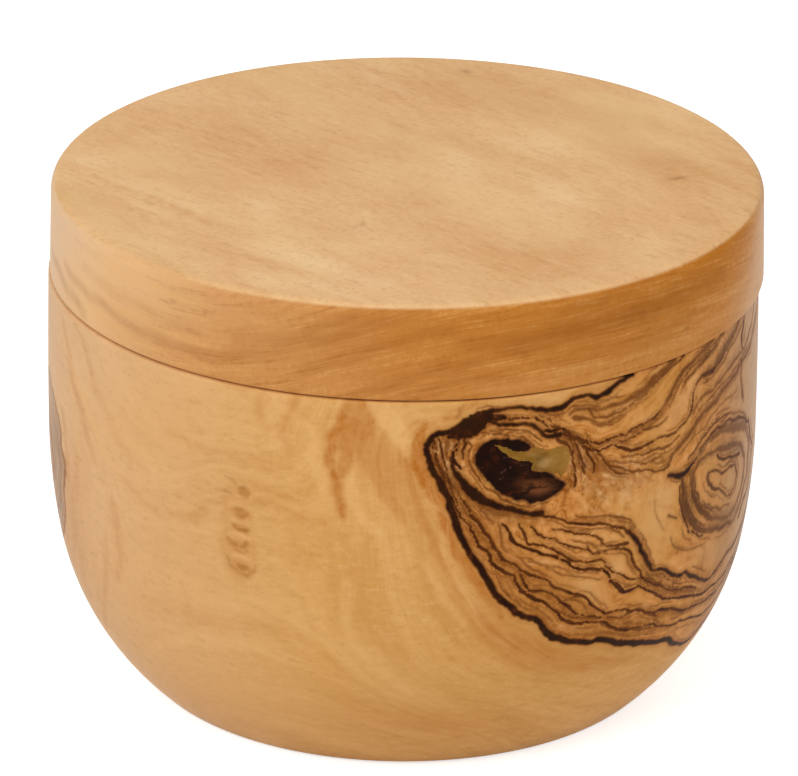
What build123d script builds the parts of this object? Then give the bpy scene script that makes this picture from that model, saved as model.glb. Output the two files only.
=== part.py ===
from build123d import *
import os
from math import asin, cos, radians, sin, sqrt

# Salt box: a turned wooden bowl, and a flat lid that swings sideways on an upright pin.
# Millimetres. +Z is up, the base stands on z = 0 and the bowl turns about the Z axis.
# The pin is at the back (+Y) and the magnets that keep the lid closed are at the front (-Y).

# ---- bowl, outside ----
bowl_height = 59.8
rim_radius = 50.0
belly_bulge = 0.25              # how far the belly stands outside the rim
belly_height = 37.6             # height of the widest place
flank_arc_radius = 91.8         # first arc below the belly
flank_drop = 15.4               # height that the flank arc takes up
base_corner_radius = 36.8       # where the heel arc would meet the table
base_edge_round = 1.5
rim_edge_round = 0.25

# ---- bowl, inside ----
wall = 10.5                     # at the rim
floor_thickness = 10.0
cavity_corner_radius = 18.0
mouth_round = 0.8

# ---- lid ----
lid_thickness = 13.3
lid_overhang = 0.25             # lower edge of the lid beyond the rim's radius
lid_taper = 0.3                 # the top is this much smaller in radius than the lower edge
lid_edge_round = 1.6
lid_lower_round = 0.25
lid_offset_x = 0.44             # the hand-fitted disc stands this far off the bowl's axis
lid_offset_y = 0.4
seam_gap = 0.25                 # thickness of the slip washer, and the gap all round

# ---- pin and bush ----
pin_radius = 2.5
pin_length = 28.0
pin_end_chamfer = 0.3
groove_depth = 0.45
groove_width = 1.4
groove_below_top = 1.6          # from the pin's top to the middle of the groove
running_clearance = 0.05        # radial, pin to bush
bead_side_clearance = 0.2       # along the axis, bead to groove wall
bush_wall = 1.45
lid_roof = 4.5                  # wood left above the bush
pin_end_clearance = 0.5         # from the pin's top to that wood
washer_ring_width = 1.75
washer_clearance = 0.15         # radial, pin to washer

# ---- magnets ----
magnet_radius = 4.0
magnet_thickness = 3.0
magnet_chamfer = 0.2

# ---- resin in the knot hole ----
knot_azimuth = 20.5             # degrees from the front towards +X
knot_below_rim = 9.6            # middle of the hole
knot_fill_depth = 4.0
# outline of the hole as seen from outside: right and up from its middle
knot_outline = [
    (-5.5, 3.2), (-2.6, 1.9), (-0.4, 1.5), (0.4, 2.2), (2.2, 1.4), (5.1, 1.4), (5.2, -1.4),
    (4.2, -2.9), (2.7, -1.9), (-0.1, -1.3), (0.1, -0.2), (-2.2, 0.5), (-4.4, 2.0),
]

# ---- worked out from the sizes above ----
belly_radius = rim_radius + belly_bulge
cavity_radius = rim_radius - wall
pivot_radius = rim_radius - wall / 2        # pin and magnets stand mid-wall
lid_bottom = bowl_height + seam_gap
bush_radius = pin_radius + running_clearance + bush_wall
bush_length = lid_thickness - lid_roof
pin_top = lid_bottom + bush_length - pin_end_clearance
magnet_proud = seam_gap / 2                 # the two magnets meet in the middle of the seam
magnet_pocket_depth = magnet_thickness - magnet_proud
knot_height = bowl_height - knot_below_rim


def cylinder(radius, low, high, y):
    """Upright cylinder from z = low to z = high, with its axis at (0, y)."""
    return Pos(0, y, low) * Cylinder(radius, high - low, align=(Align.CENTER, Align.CENTER, Align.MIN))


def edges_at(solid, z, radius):
    """Round edges of the solid at height z with that radius."""
    circles = solid.edges().filter_by(GeomType.CIRCLE)
    return [e for e in circles if abs(e.center().Z - z) < 1e-4 and abs(e.radius - radius) < 1e-4]


def bowl_form():
    """The turned outside of the bowl, still full inside."""
    turn = asin(flank_drop / flank_arc_radius)
    flank_end = (belly_radius - flank_arc_radius * (1 - cos(turn)), belly_height - flank_drop)
    flank_mid = (
        belly_radius - flank_arc_radius * (1 - cos(turn / 2)),
        belly_height - flank_arc_radius * sin(turn / 2),
    )
    # the barrel arc stands upright at the belly and ends at the rim
    rise = bowl_height - belly_height
    barrel_arc_radius = (rise * rise + belly_bulge * belly_bulge) / (2 * belly_bulge)
    barrel_mid = (
        belly_radius - barrel_arc_radius + sqrt(barrel_arc_radius**2 - (rise / 2) ** 2),
        belly_height + rise / 2,
    )
    with BuildSketch(Plane.XZ) as half:
        with BuildLine():
            ThreePointArc((rim_radius, bowl_height), barrel_mid, (belly_radius, belly_height))
            ThreePointArc((belly_radius, belly_height), flank_mid, flank_end)
            TangentArc(flank_end, (base_corner_radius, 0), tangent=(-sin(turn), -cos(turn)))
            Polyline((base_corner_radius, 0), (0, 0), (0, bowl_height), (rim_radius, bowl_height))
        make_face()
    form = revolve(half.sketch, Axis.Z)
    form = fillet(edges_at(form, 0, base_corner_radius), base_edge_round)
    return fillet(edges_at(form, bowl_height, rim_radius), rim_edge_round)


def cavity():
    """The round salt hollow, open at the rim."""
    space = cylinder(cavity_radius, floor_thickness, bowl_height, 0)
    return fillet(edges_at(space, floor_thickness, cavity_radius), cavity_corner_radius)


def knot_prism():
    """The knot hole, cut straight in from the side and reaching past the outside."""
    azimuth = radians(knot_azimuth)
    outward = Vector(sin(azimuth), -cos(azimuth), 0)
    back = outward * (rim_radius - knot_fill_depth) + Vector(0, 0, knot_height)
    right = Vector(cos(azimuth), sin(azimuth), 0)
    with BuildSketch(Plane(origin=back, x_dir=right, z_dir=outward)) as outline:
        with BuildLine():
            Polyline(*knot_outline, close=True)
        make_face()
    return extrude(outline.sketch, knot_fill_depth + 2 * belly_bulge + base_edge_round)


def make_bowl():
    body = bowl_form() - cavity()
    body = fillet(edges_at(body, bowl_height, cavity_radius), mouth_round)
    body -= cylinder(pin_radius, pin_top - pin_length, bowl_height, pivot_radius)
    body -= cylinder(magnet_radius, bowl_height - magnet_pocket_depth, bowl_height, -pivot_radius)
    return body - knot_prism()


def make_knot_fill():
    return bowl_form() & knot_prism()


def make_lid():
    bottom_radius = rim_radius + lid_overhang
    top_radius = bottom_radius - lid_taper
    disc = Pos(lid_offset_x, lid_offset_y, lid_bottom) * Cone(
        bottom_radius, top_radius, lid_thickness, align=(Align.CENTER, Align.CENTER, Align.MIN)
    )
    disc = fillet(edges_at(disc, lid_bottom + lid_thickness, top_radius), lid_edge_round)
    disc = fillet(edges_at(disc, lid_bottom, bottom_radius), lid_lower_round)
    disc -= cylinder(bush_radius, lid_bottom, lid_bottom + bush_length, pivot_radius)
    return disc - cylinder(magnet_radius, lid_bottom, lid_bottom + magnet_pocket_depth, -pivot_radius)


def make_pivot_pin():
    pin = cylinder(pin_radius, pin_top - pin_length, pin_top, pivot_radius)
    ends = edges_at(pin, pin_top, pin_radius) + edges_at(pin, pin_top - pin_length, pin_radius)
    pin = chamfer(ends, pin_end_chamfer)
    groove_middle = pin_top - groove_below_top
    low = groove_middle - groove_width / 2
    high = groove_middle + groove_width / 2
    ring = cylinder(2 * pin_radius, low, high, pivot_radius)
    return pin - (ring - cylinder(pin_radius - groove_depth, low, high, pivot_radius))


def make_pivot_bush():
    top = lid_bottom + bush_length
    bead_middle = pin_top - groove_below_top
    bead_half = groove_width / 2 - bead_side_clearance
    bore_radius = pin_radius + running_clearance
    bead_radius = bore_radius - groove_depth
    sleeve = cylinder(bush_radius, lid_bottom, top, pivot_radius)
    sleeve -= cylinder(bore_radius, lid_bottom, bead_middle - bead_half, pivot_radius)
    sleeve -= cylinder(bead_radius, bead_middle - bead_half, bead_middle + bead_half, pivot_radius)
    return sleeve - cylinder(bore_radius, bead_middle + bead_half, top, pivot_radius)


def make_pivot_washer():
    inner = pin_radius + washer_clearance
    ring = cylinder(inner + washer_ring_width, bowl_height, lid_bottom, pivot_radius)
    return ring - cylinder(inner, bowl_height, lid_bottom, pivot_radius)


def make_magnet(low):
    disc = cylinder(magnet_radius, low, low + magnet_thickness, -pivot_radius)
    return chamfer(edges_at(disc, low, magnet_radius) + edges_at(disc, low + magnet_thickness, magnet_radius),
                   magnet_chamfer)


nodes = {
    "bowl": make_bowl(),
    "knot_fill": make_knot_fill(),
    "lid": make_lid(),
    "pivot_pin": make_pivot_pin(),
    "pivot_bush": make_pivot_bush(),
    "pivot_washer": make_pivot_washer(),
    "bowl_magnet": make_magnet(bowl_height - magnet_pocket_depth),
    "lid_magnet": make_magnet(lid_bottom - magnet_proud),
}

os.makedirs("parts", exist_ok=True)
for name, shape in nodes.items():
    export_step(shape, f"parts/{name}.step")
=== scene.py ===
from math import asin, atan2, cos, degrees, pi, radians, sin, sqrt

import bpy
import numpy as np
from mathutils import Matrix, Vector, kdtree


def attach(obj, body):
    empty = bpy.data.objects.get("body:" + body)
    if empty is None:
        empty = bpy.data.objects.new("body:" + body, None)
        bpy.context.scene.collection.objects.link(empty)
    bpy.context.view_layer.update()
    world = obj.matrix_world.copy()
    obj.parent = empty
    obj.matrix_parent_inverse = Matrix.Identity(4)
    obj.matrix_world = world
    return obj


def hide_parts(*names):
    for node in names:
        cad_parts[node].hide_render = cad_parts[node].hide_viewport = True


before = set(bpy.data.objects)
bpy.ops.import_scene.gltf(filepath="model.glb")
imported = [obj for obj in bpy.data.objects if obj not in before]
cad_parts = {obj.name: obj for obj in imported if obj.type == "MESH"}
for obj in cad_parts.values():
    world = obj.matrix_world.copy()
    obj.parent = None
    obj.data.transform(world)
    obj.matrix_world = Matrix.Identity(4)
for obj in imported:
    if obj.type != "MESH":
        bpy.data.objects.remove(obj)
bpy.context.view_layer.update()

# Salt box: a turned bowl with dark figure, and a plain lid that swings aside on a pin.
# Sizes are in millimetres; MM turns them into metres.
# Azimuths are degrees round the box from the front (-Y) towards +X.
MM = 0.001

# ---- turned sizes ----
BOWL_HEIGHT = 59.8
RIM_RADIUS = 50.0
BELLY_BULGE = 0.25
BELLY_HEIGHT = 37.6
FLANK_ARC_RADIUS = 91.8
FLANK_DROP = 15.4
BASE_CORNER_RADIUS = 36.8
BASE_EDGE_ROUND = 1.5
RIM_EDGE_ROUND = 0.25
CAVITY_RADIUS = 39.5
CAVITY_FLOOR = 10.0
CAVITY_CORNER_RADIUS = 18.0
MOUTH_ROUND = 0.8

LID_BOTTOM = 60.05
LID_TOP = 73.35
LID_BOTTOM_RADIUS = 50.25
LID_TOP_RADIUS = 49.95
LID_EDGE_ROUND = 1.6
LID_LOWER_ROUND = 0.25
LID_X = 0.44
LID_Y = 0.4

PIVOT_RADIUS = 44.75
PIN_BORE = 2.5
PIN_BORE_BOTTOM = 40.35
BUSH_BORE = 4.0
BUSH_BORE_TOP = 68.85
MAGNET_POCKET = 4.0
MAGNET_POCKET_DEPTH = 2.875

KNOT_AZIMUTH = 20.5
KNOT_HEIGHT = 50.2
KNOT_FILL_DEPTH = 4.0

# ---- fineness of the meshes ----
TURNING_STEPS = 288
BASE_PITCH = 4.0
SKIN_PITCH = 1.0
SKIN_BOTTOM = 9.0           # below this height the wood has no fine figure
RIM_PITCH = 1.3
WALL_PITCH = 3.0
FLOOR_PITCH = 3.6
LID_UNDER_PITCH = 1.6
LID_SIDE_PITCH = 0.9
LID_TOP_PITCH = 1.2
BORE_SIDES = 64
CUTTER_REACH = 5.0          # how far a cutter sticks out of the wood
KNOT_CUTTER_REACH = 2.0
WELD_GAP = 0.005
SMOOTH_BELOW = 40           # degrees between faces
NEAR_SKIN = 1.5             # faces at most this deep count as the outside
CHORD_SAG = 0.2             # a cut face's corners lie at most this far off it

# ---- fineness of the figure ----
VEIN_PITCH = 0.12           # between samples along a vein
STROKE_PITCH = 0.35         # and along a soft stroke
EDGE_PITCH = 0.4            # and along the edge of the figure or of the patch
FAR = 9.0                   # distances from veins and edges are held to this
FAINT_INK = 0.4             # veins lighter than this have no companions
WIDE_VEIN = 0.45            # veins of this mean width run through the whole wall
WALL_LEAN = 0.35            # degrees that the figure leans for each mm into the wall
FIGURE_FIRST = -125         # azimuths between which there are veins
FIGURE_LAST = 122
SEAM_AZIMUTH = -140         # where azimuths start again at the back, away from the figure
DEEPEST = 40                # depths below the outside are held to this
SKIN_START = 0.5            # the curve of the outside is held below this height


def srgb(red, green, blue):
    """A colour picked on a 0 to 255 chart, as the shaders need it."""
    shares = [value / 255 for value in (red, green, blue)]
    return (*[s / 12.92 if s <= 0.04045 else ((s + 0.055) / 1.055) ** 2.4 for s in shares], 1.0)


# ---------------------------------------------------------------- turning
belly_radius = RIM_RADIUS + BELLY_BULGE
barrel_rise = BOWL_HEIGHT - BELLY_HEIGHT
barrel_arc_radius = (barrel_rise**2 + BELLY_BULGE**2) / (2 * BELLY_BULGE)
flank_turn = asin(FLANK_DROP / FLANK_ARC_RADIUS)
flank_end_radius = belly_radius - FLANK_ARC_RADIUS * (1 - cos(flank_turn))
flank_end_height = BELLY_HEIGHT - FLANK_DROP
heel_run = flank_end_radius - BASE_CORNER_RADIUS
heel_arc_radius = (heel_run**2 + flank_end_height**2) / (
    2 * (heel_run * cos(flank_turn) - flank_end_height * sin(flank_turn))
)
heel_centre_radius = flank_end_radius - heel_arc_radius * cos(flank_turn)
heel_centre_height = flank_end_height + heel_arc_radius * sin(flank_turn)


def outside_radius(height):
    """Radius of the bowl's outside at a height, without the edge rounds."""
    height = np.clip(height, SKIN_START, BOWL_HEIGHT)
    from_belly = (height - BELLY_HEIGHT) ** 2
    barrel = belly_radius - barrel_arc_radius + np.sqrt(barrel_arc_radius**2 - from_belly)
    flank = belly_radius - FLANK_ARC_RADIUS + np.sqrt(FLANK_ARC_RADIUS**2 - from_belly)
    heel = heel_centre_radius + np.sqrt(heel_arc_radius**2 - (height - heel_centre_height) ** 2)
    return np.where(height > BELLY_HEIGHT, barrel, np.where(height > flank_end_height, flank, heel))


def arc(centre, radius, first, last, count):
    """Points of a round, from one angle to another, in the plane of radius and height."""
    turns = np.radians(np.linspace(first, last, count))
    return [(centre[0] + radius * cos(t), centre[1] + radius * sin(t)) for t in turns]


def stretch(start, end, pitch):
    """Evenly spaced points after start, up to and with end."""
    count = max(1, round(sqrt((end[0] - start[0]) ** 2 + (end[1] - start[1]) ** 2) / pitch))
    return [
        (start[0] + (end[0] - start[0]) * k / count, start[1] + (end[1] - start[1]) * k / count)
        for k in range(1, count + 1)
    ]


def bowl_outline():
    """Half section of the bowl, from the middle of the base round to the middle of the floor."""
    inner = heel_arc_radius - BASE_EDGE_ROUND
    foot_centre = (
        heel_centre_radius + sqrt(inner**2 - (heel_centre_height - BASE_EDGE_ROUND) ** 2),
        BASE_EDGE_ROUND,
    )
    meet = degrees(atan2(BASE_EDGE_ROUND - heel_centre_height, foot_centre[0] - heel_centre_radius))
    points = [(0, 0)] + stretch((0, 0), (foot_centre[0], 0), BASE_PITCH)
    foot = arc(foot_centre, BASE_EDGE_ROUND, -90, meet, 5)
    points += foot[1:]
    top = BOWL_HEIGHT - RIM_EDGE_ROUND
    heights = np.concatenate([
        np.linspace(foot[-1][1], SKIN_BOTTOM, 6)[1:-1],
        np.linspace(SKIN_BOTTOM, top, round((top - SKIN_BOTTOM) / SKIN_PITCH) + 1),
    ])
    points += [(float(outside_radius(h)), float(h)) for h in heights]
    points += arc((RIM_RADIUS - RIM_EDGE_ROUND, top), RIM_EDGE_ROUND, 0, 90, 4)[1:]
    mouth = (CAVITY_RADIUS + MOUTH_ROUND, BOWL_HEIGHT - MOUTH_ROUND)
    points += stretch(points[-1], (mouth[0], BOWL_HEIGHT), RIM_PITCH)
    points += arc(mouth, MOUTH_ROUND, 90, 180, 5)[1:]
    corner = (CAVITY_RADIUS - CAVITY_CORNER_RADIUS, CAVITY_FLOOR + CAVITY_CORNER_RADIUS)
    points += stretch(points[-1], (CAVITY_RADIUS, corner[1]), WALL_PITCH)
    points += arc(corner, CAVITY_CORNER_RADIUS, 0, -90, 12)[1:]
    points += stretch(points[-1], (0, CAVITY_FLOOR), FLOOR_PITCH)
    return points


def lid_outline():
    """Half section of the lid, from the middle of its underside round to the middle of its top."""
    lower = (LID_BOTTOM_RADIUS - LID_LOWER_ROUND, LID_BOTTOM + LID_LOWER_ROUND)
    upper = (LID_TOP_RADIUS - LID_EDGE_ROUND, LID_TOP - LID_EDGE_ROUND)
    points = [(0, LID_BOTTOM)]
    points += stretch(points[-1], (lower[0], LID_BOTTOM), LID_UNDER_PITCH)
    points += arc(lower, LID_LOWER_ROUND, -90, 0, 4)[1:]
    points += stretch(points[-1], (LID_TOP_RADIUS, upper[1]), LID_SIDE_PITCH)
    points += arc(upper, LID_EDGE_ROUND, 0, 90, 8)[1:]
    points += stretch(points[-1], (0, LID_TOP), LID_TOP_PITCH)
    return points


def select_only(piece):
    bpy.ops.object.select_all(action="DESELECT")
    piece.select_set(True)
    bpy.context.view_layer.objects.active = piece


def draw_line(name, points):
    """A new mesh that is one open line through the points, in metres, left in edit mode."""
    bpy.ops.object.select_all(action="DESELECT")
    bpy.ops.mesh.primitive_plane_add(size=MM, location=(0, 0, 0))
    piece = bpy.context.active_object
    piece.name = name
    piece.data.name = name
    bpy.ops.object.mode_set(mode="EDIT")
    bpy.ops.mesh.select_all(action="SELECT")
    bpy.ops.mesh.merge(type="CENTER")
    bpy.ops.transform.translate(value=points[0])
    for before, after in zip(points, points[1:]):
        step = [b - a for a, b in zip(before, after)]
        bpy.ops.mesh.extrude_region_move(TRANSFORM_OT_translate={"value": step})
    return piece


def turn_on_lathe(name, outline, axis_x=0.0, axis_y=0.0):
    """Spins a half section round an upright axis into a closed solid."""
    line = [((r + axis_x) * MM, axis_y * MM, h * MM) for r, h in outline]
    piece = draw_line(name, line)
    centre = (axis_x * MM, axis_y * MM, 0)
    bpy.ops.mesh.select_all(action="SELECT")
    bpy.ops.mesh.spin(steps=TURNING_STEPS, angle=2 * pi, center=centre, axis=(0, 0, 1))
    bpy.ops.mesh.select_all(action="SELECT")
    bpy.ops.mesh.remove_doubles(threshold=WELD_GAP * MM)
    bpy.ops.mesh.normals_make_consistent(inside=False)
    bpy.ops.object.mode_set(mode="OBJECT")
    return piece


def mesh_numbers(items, name):
    """Three numbers for each vertex or face of a mesh."""
    flat = np.zeros(len(items) * 3, np.float32)
    items.foreach_get(name, flat)
    return flat.reshape(-1, 3).astype(float)


def corners(piece):
    """The mesh's vertices in millimetres."""
    return mesh_numbers(piece.data.vertices, "co") / MM


def put_corners(piece, places):
    piece.data.vertices.foreach_set("co", (places * MM).astype(np.float32).ravel())
    piece.data.update()


def face_middles(piece):
    """The middles of the faces in millimetres."""
    return mesh_numbers(piece.data.polygons, "center") / MM


def divide_faces(piece, chosen, cuts=1):
    """Cuts the chosen faces into smaller ones."""
    select_only(piece)
    bpy.ops.object.mode_set(mode="EDIT")
    bpy.ops.mesh.select_mode(type="FACE")
    bpy.ops.mesh.select_all(action="DESELECT")
    bpy.ops.object.mode_set(mode="OBJECT")
    piece.data.polygons.foreach_set("select", chosen)
    bpy.ops.object.mode_set(mode="EDIT")
    bpy.ops.mesh.subdivide(number_cuts=cuts)
    bpy.ops.mesh.select_mode(type="VERT")
    bpy.ops.object.mode_set(mode="OBJECT")


def carve(piece, cutter, operation="DIFFERENCE"):
    """Takes the cutter out of the piece, or keeps what they share."""
    select_only(piece)
    saw = piece.modifiers.new("saw", "BOOLEAN")
    saw.operation = operation
    saw.solver = "EXACT"
    saw.object = cutter
    bpy.ops.object.modifier_apply(modifier=saw.name)


def throw_away(piece):
    mesh = piece.data
    bpy.data.objects.remove(piece)
    bpy.data.meshes.remove(mesh)


def bore(piece, y, radius, low, high):
    """Drills a round upright hole on the middle line of the box."""
    bpy.ops.object.select_all(action="DESELECT")
    bpy.ops.mesh.primitive_cylinder_add(
        vertices=BORE_SIDES, radius=radius * MM, depth=(high - low) * MM,
        location=(0, y * MM, (low + high) / 2 * MM),
    )
    cutter = bpy.context.active_object
    bpy.ops.object.transform_apply(location=True, rotation=True, scale=True)
    carve(piece, cutter)
    throw_away(cutter)


def smooth_faces(piece):
    select_only(piece)
    bpy.ops.object.shade_smooth_by_angle(angle=radians(SMOOTH_BELOW))


def write_values(piece, name, values):
    """A number at every vertex, which the material reads by name."""
    layer = piece.data.attributes.new(name, "FLOAT", "POINT")
    layer.data.foreach_set("value", np.asarray(values, np.float32))


# ---------------------------------------------------------------- figure of the bowl's wood
# A run is a row of (azimuth, height, width). Each dark vein has a ring number, which the grain
# beside it takes on, its darkness, and its run. None stands for a vein that crosses the rings.
OUTLINE_VEIN = [
    (38.4, 59.8, 0.5), (35, 59, 0.65), (33.4, 58.2, 0.8), (31.4, 57.8, 0.75), (30.2, 58.4, 0.45),
    (27.2, 58.4, 0.5), (25.2, 57.4, 0.85), (22.5, 57.4, 0.7), (19.5, 58, 0.4), (15, 58.2, 0.4),
    (13, 57.9, 1.1), (10.8, 57, 1.8), (8.8, 56.1, 1.3), (7, 55.5, 0.8), (4.5, 54.8, 0.7), (3.8, 53.7, 0.9),
    (4.2, 51.4, 0.85), (6.1, 47.9, 1.1), (8, 43.6, 0.95), (8.8, 41.2, 0.95), (11.4, 36.6, 0.9),
    (14.2, 32.3, 0.95), (16, 30, 1), (18.3, 27.9, 1), (20, 27, 0.8), (21.6, 26.6, 0.85), (23.7, 24.2, 1),
    (25.2, 22.9, 0.95), (29, 21.6, 0.85), (32, 20.8, 0.8), (35, 20.6, 0.85), (38.6, 19.1, 1.1),
    (44, 17.7, 0.95), (50.4, 16.1, 0.8), (52.8, 15.3, 0.8), (55.2, 13.7, 0.7), (59, 12.4, 0.6),
    (64, 11.5, 0.5), (72, 12.6, 0.5), (78, 14.5, 0.6), (86, 17, 0.7), (91, 21, 0.6), (99, 28, 0.7),
    (104, 33, 0.7), (107, 40, 0.6), (111, 45, 0.6), (111, 51, 0.5), (115, 56, 0.5), (116, 59.8, 0.4),
]
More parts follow.
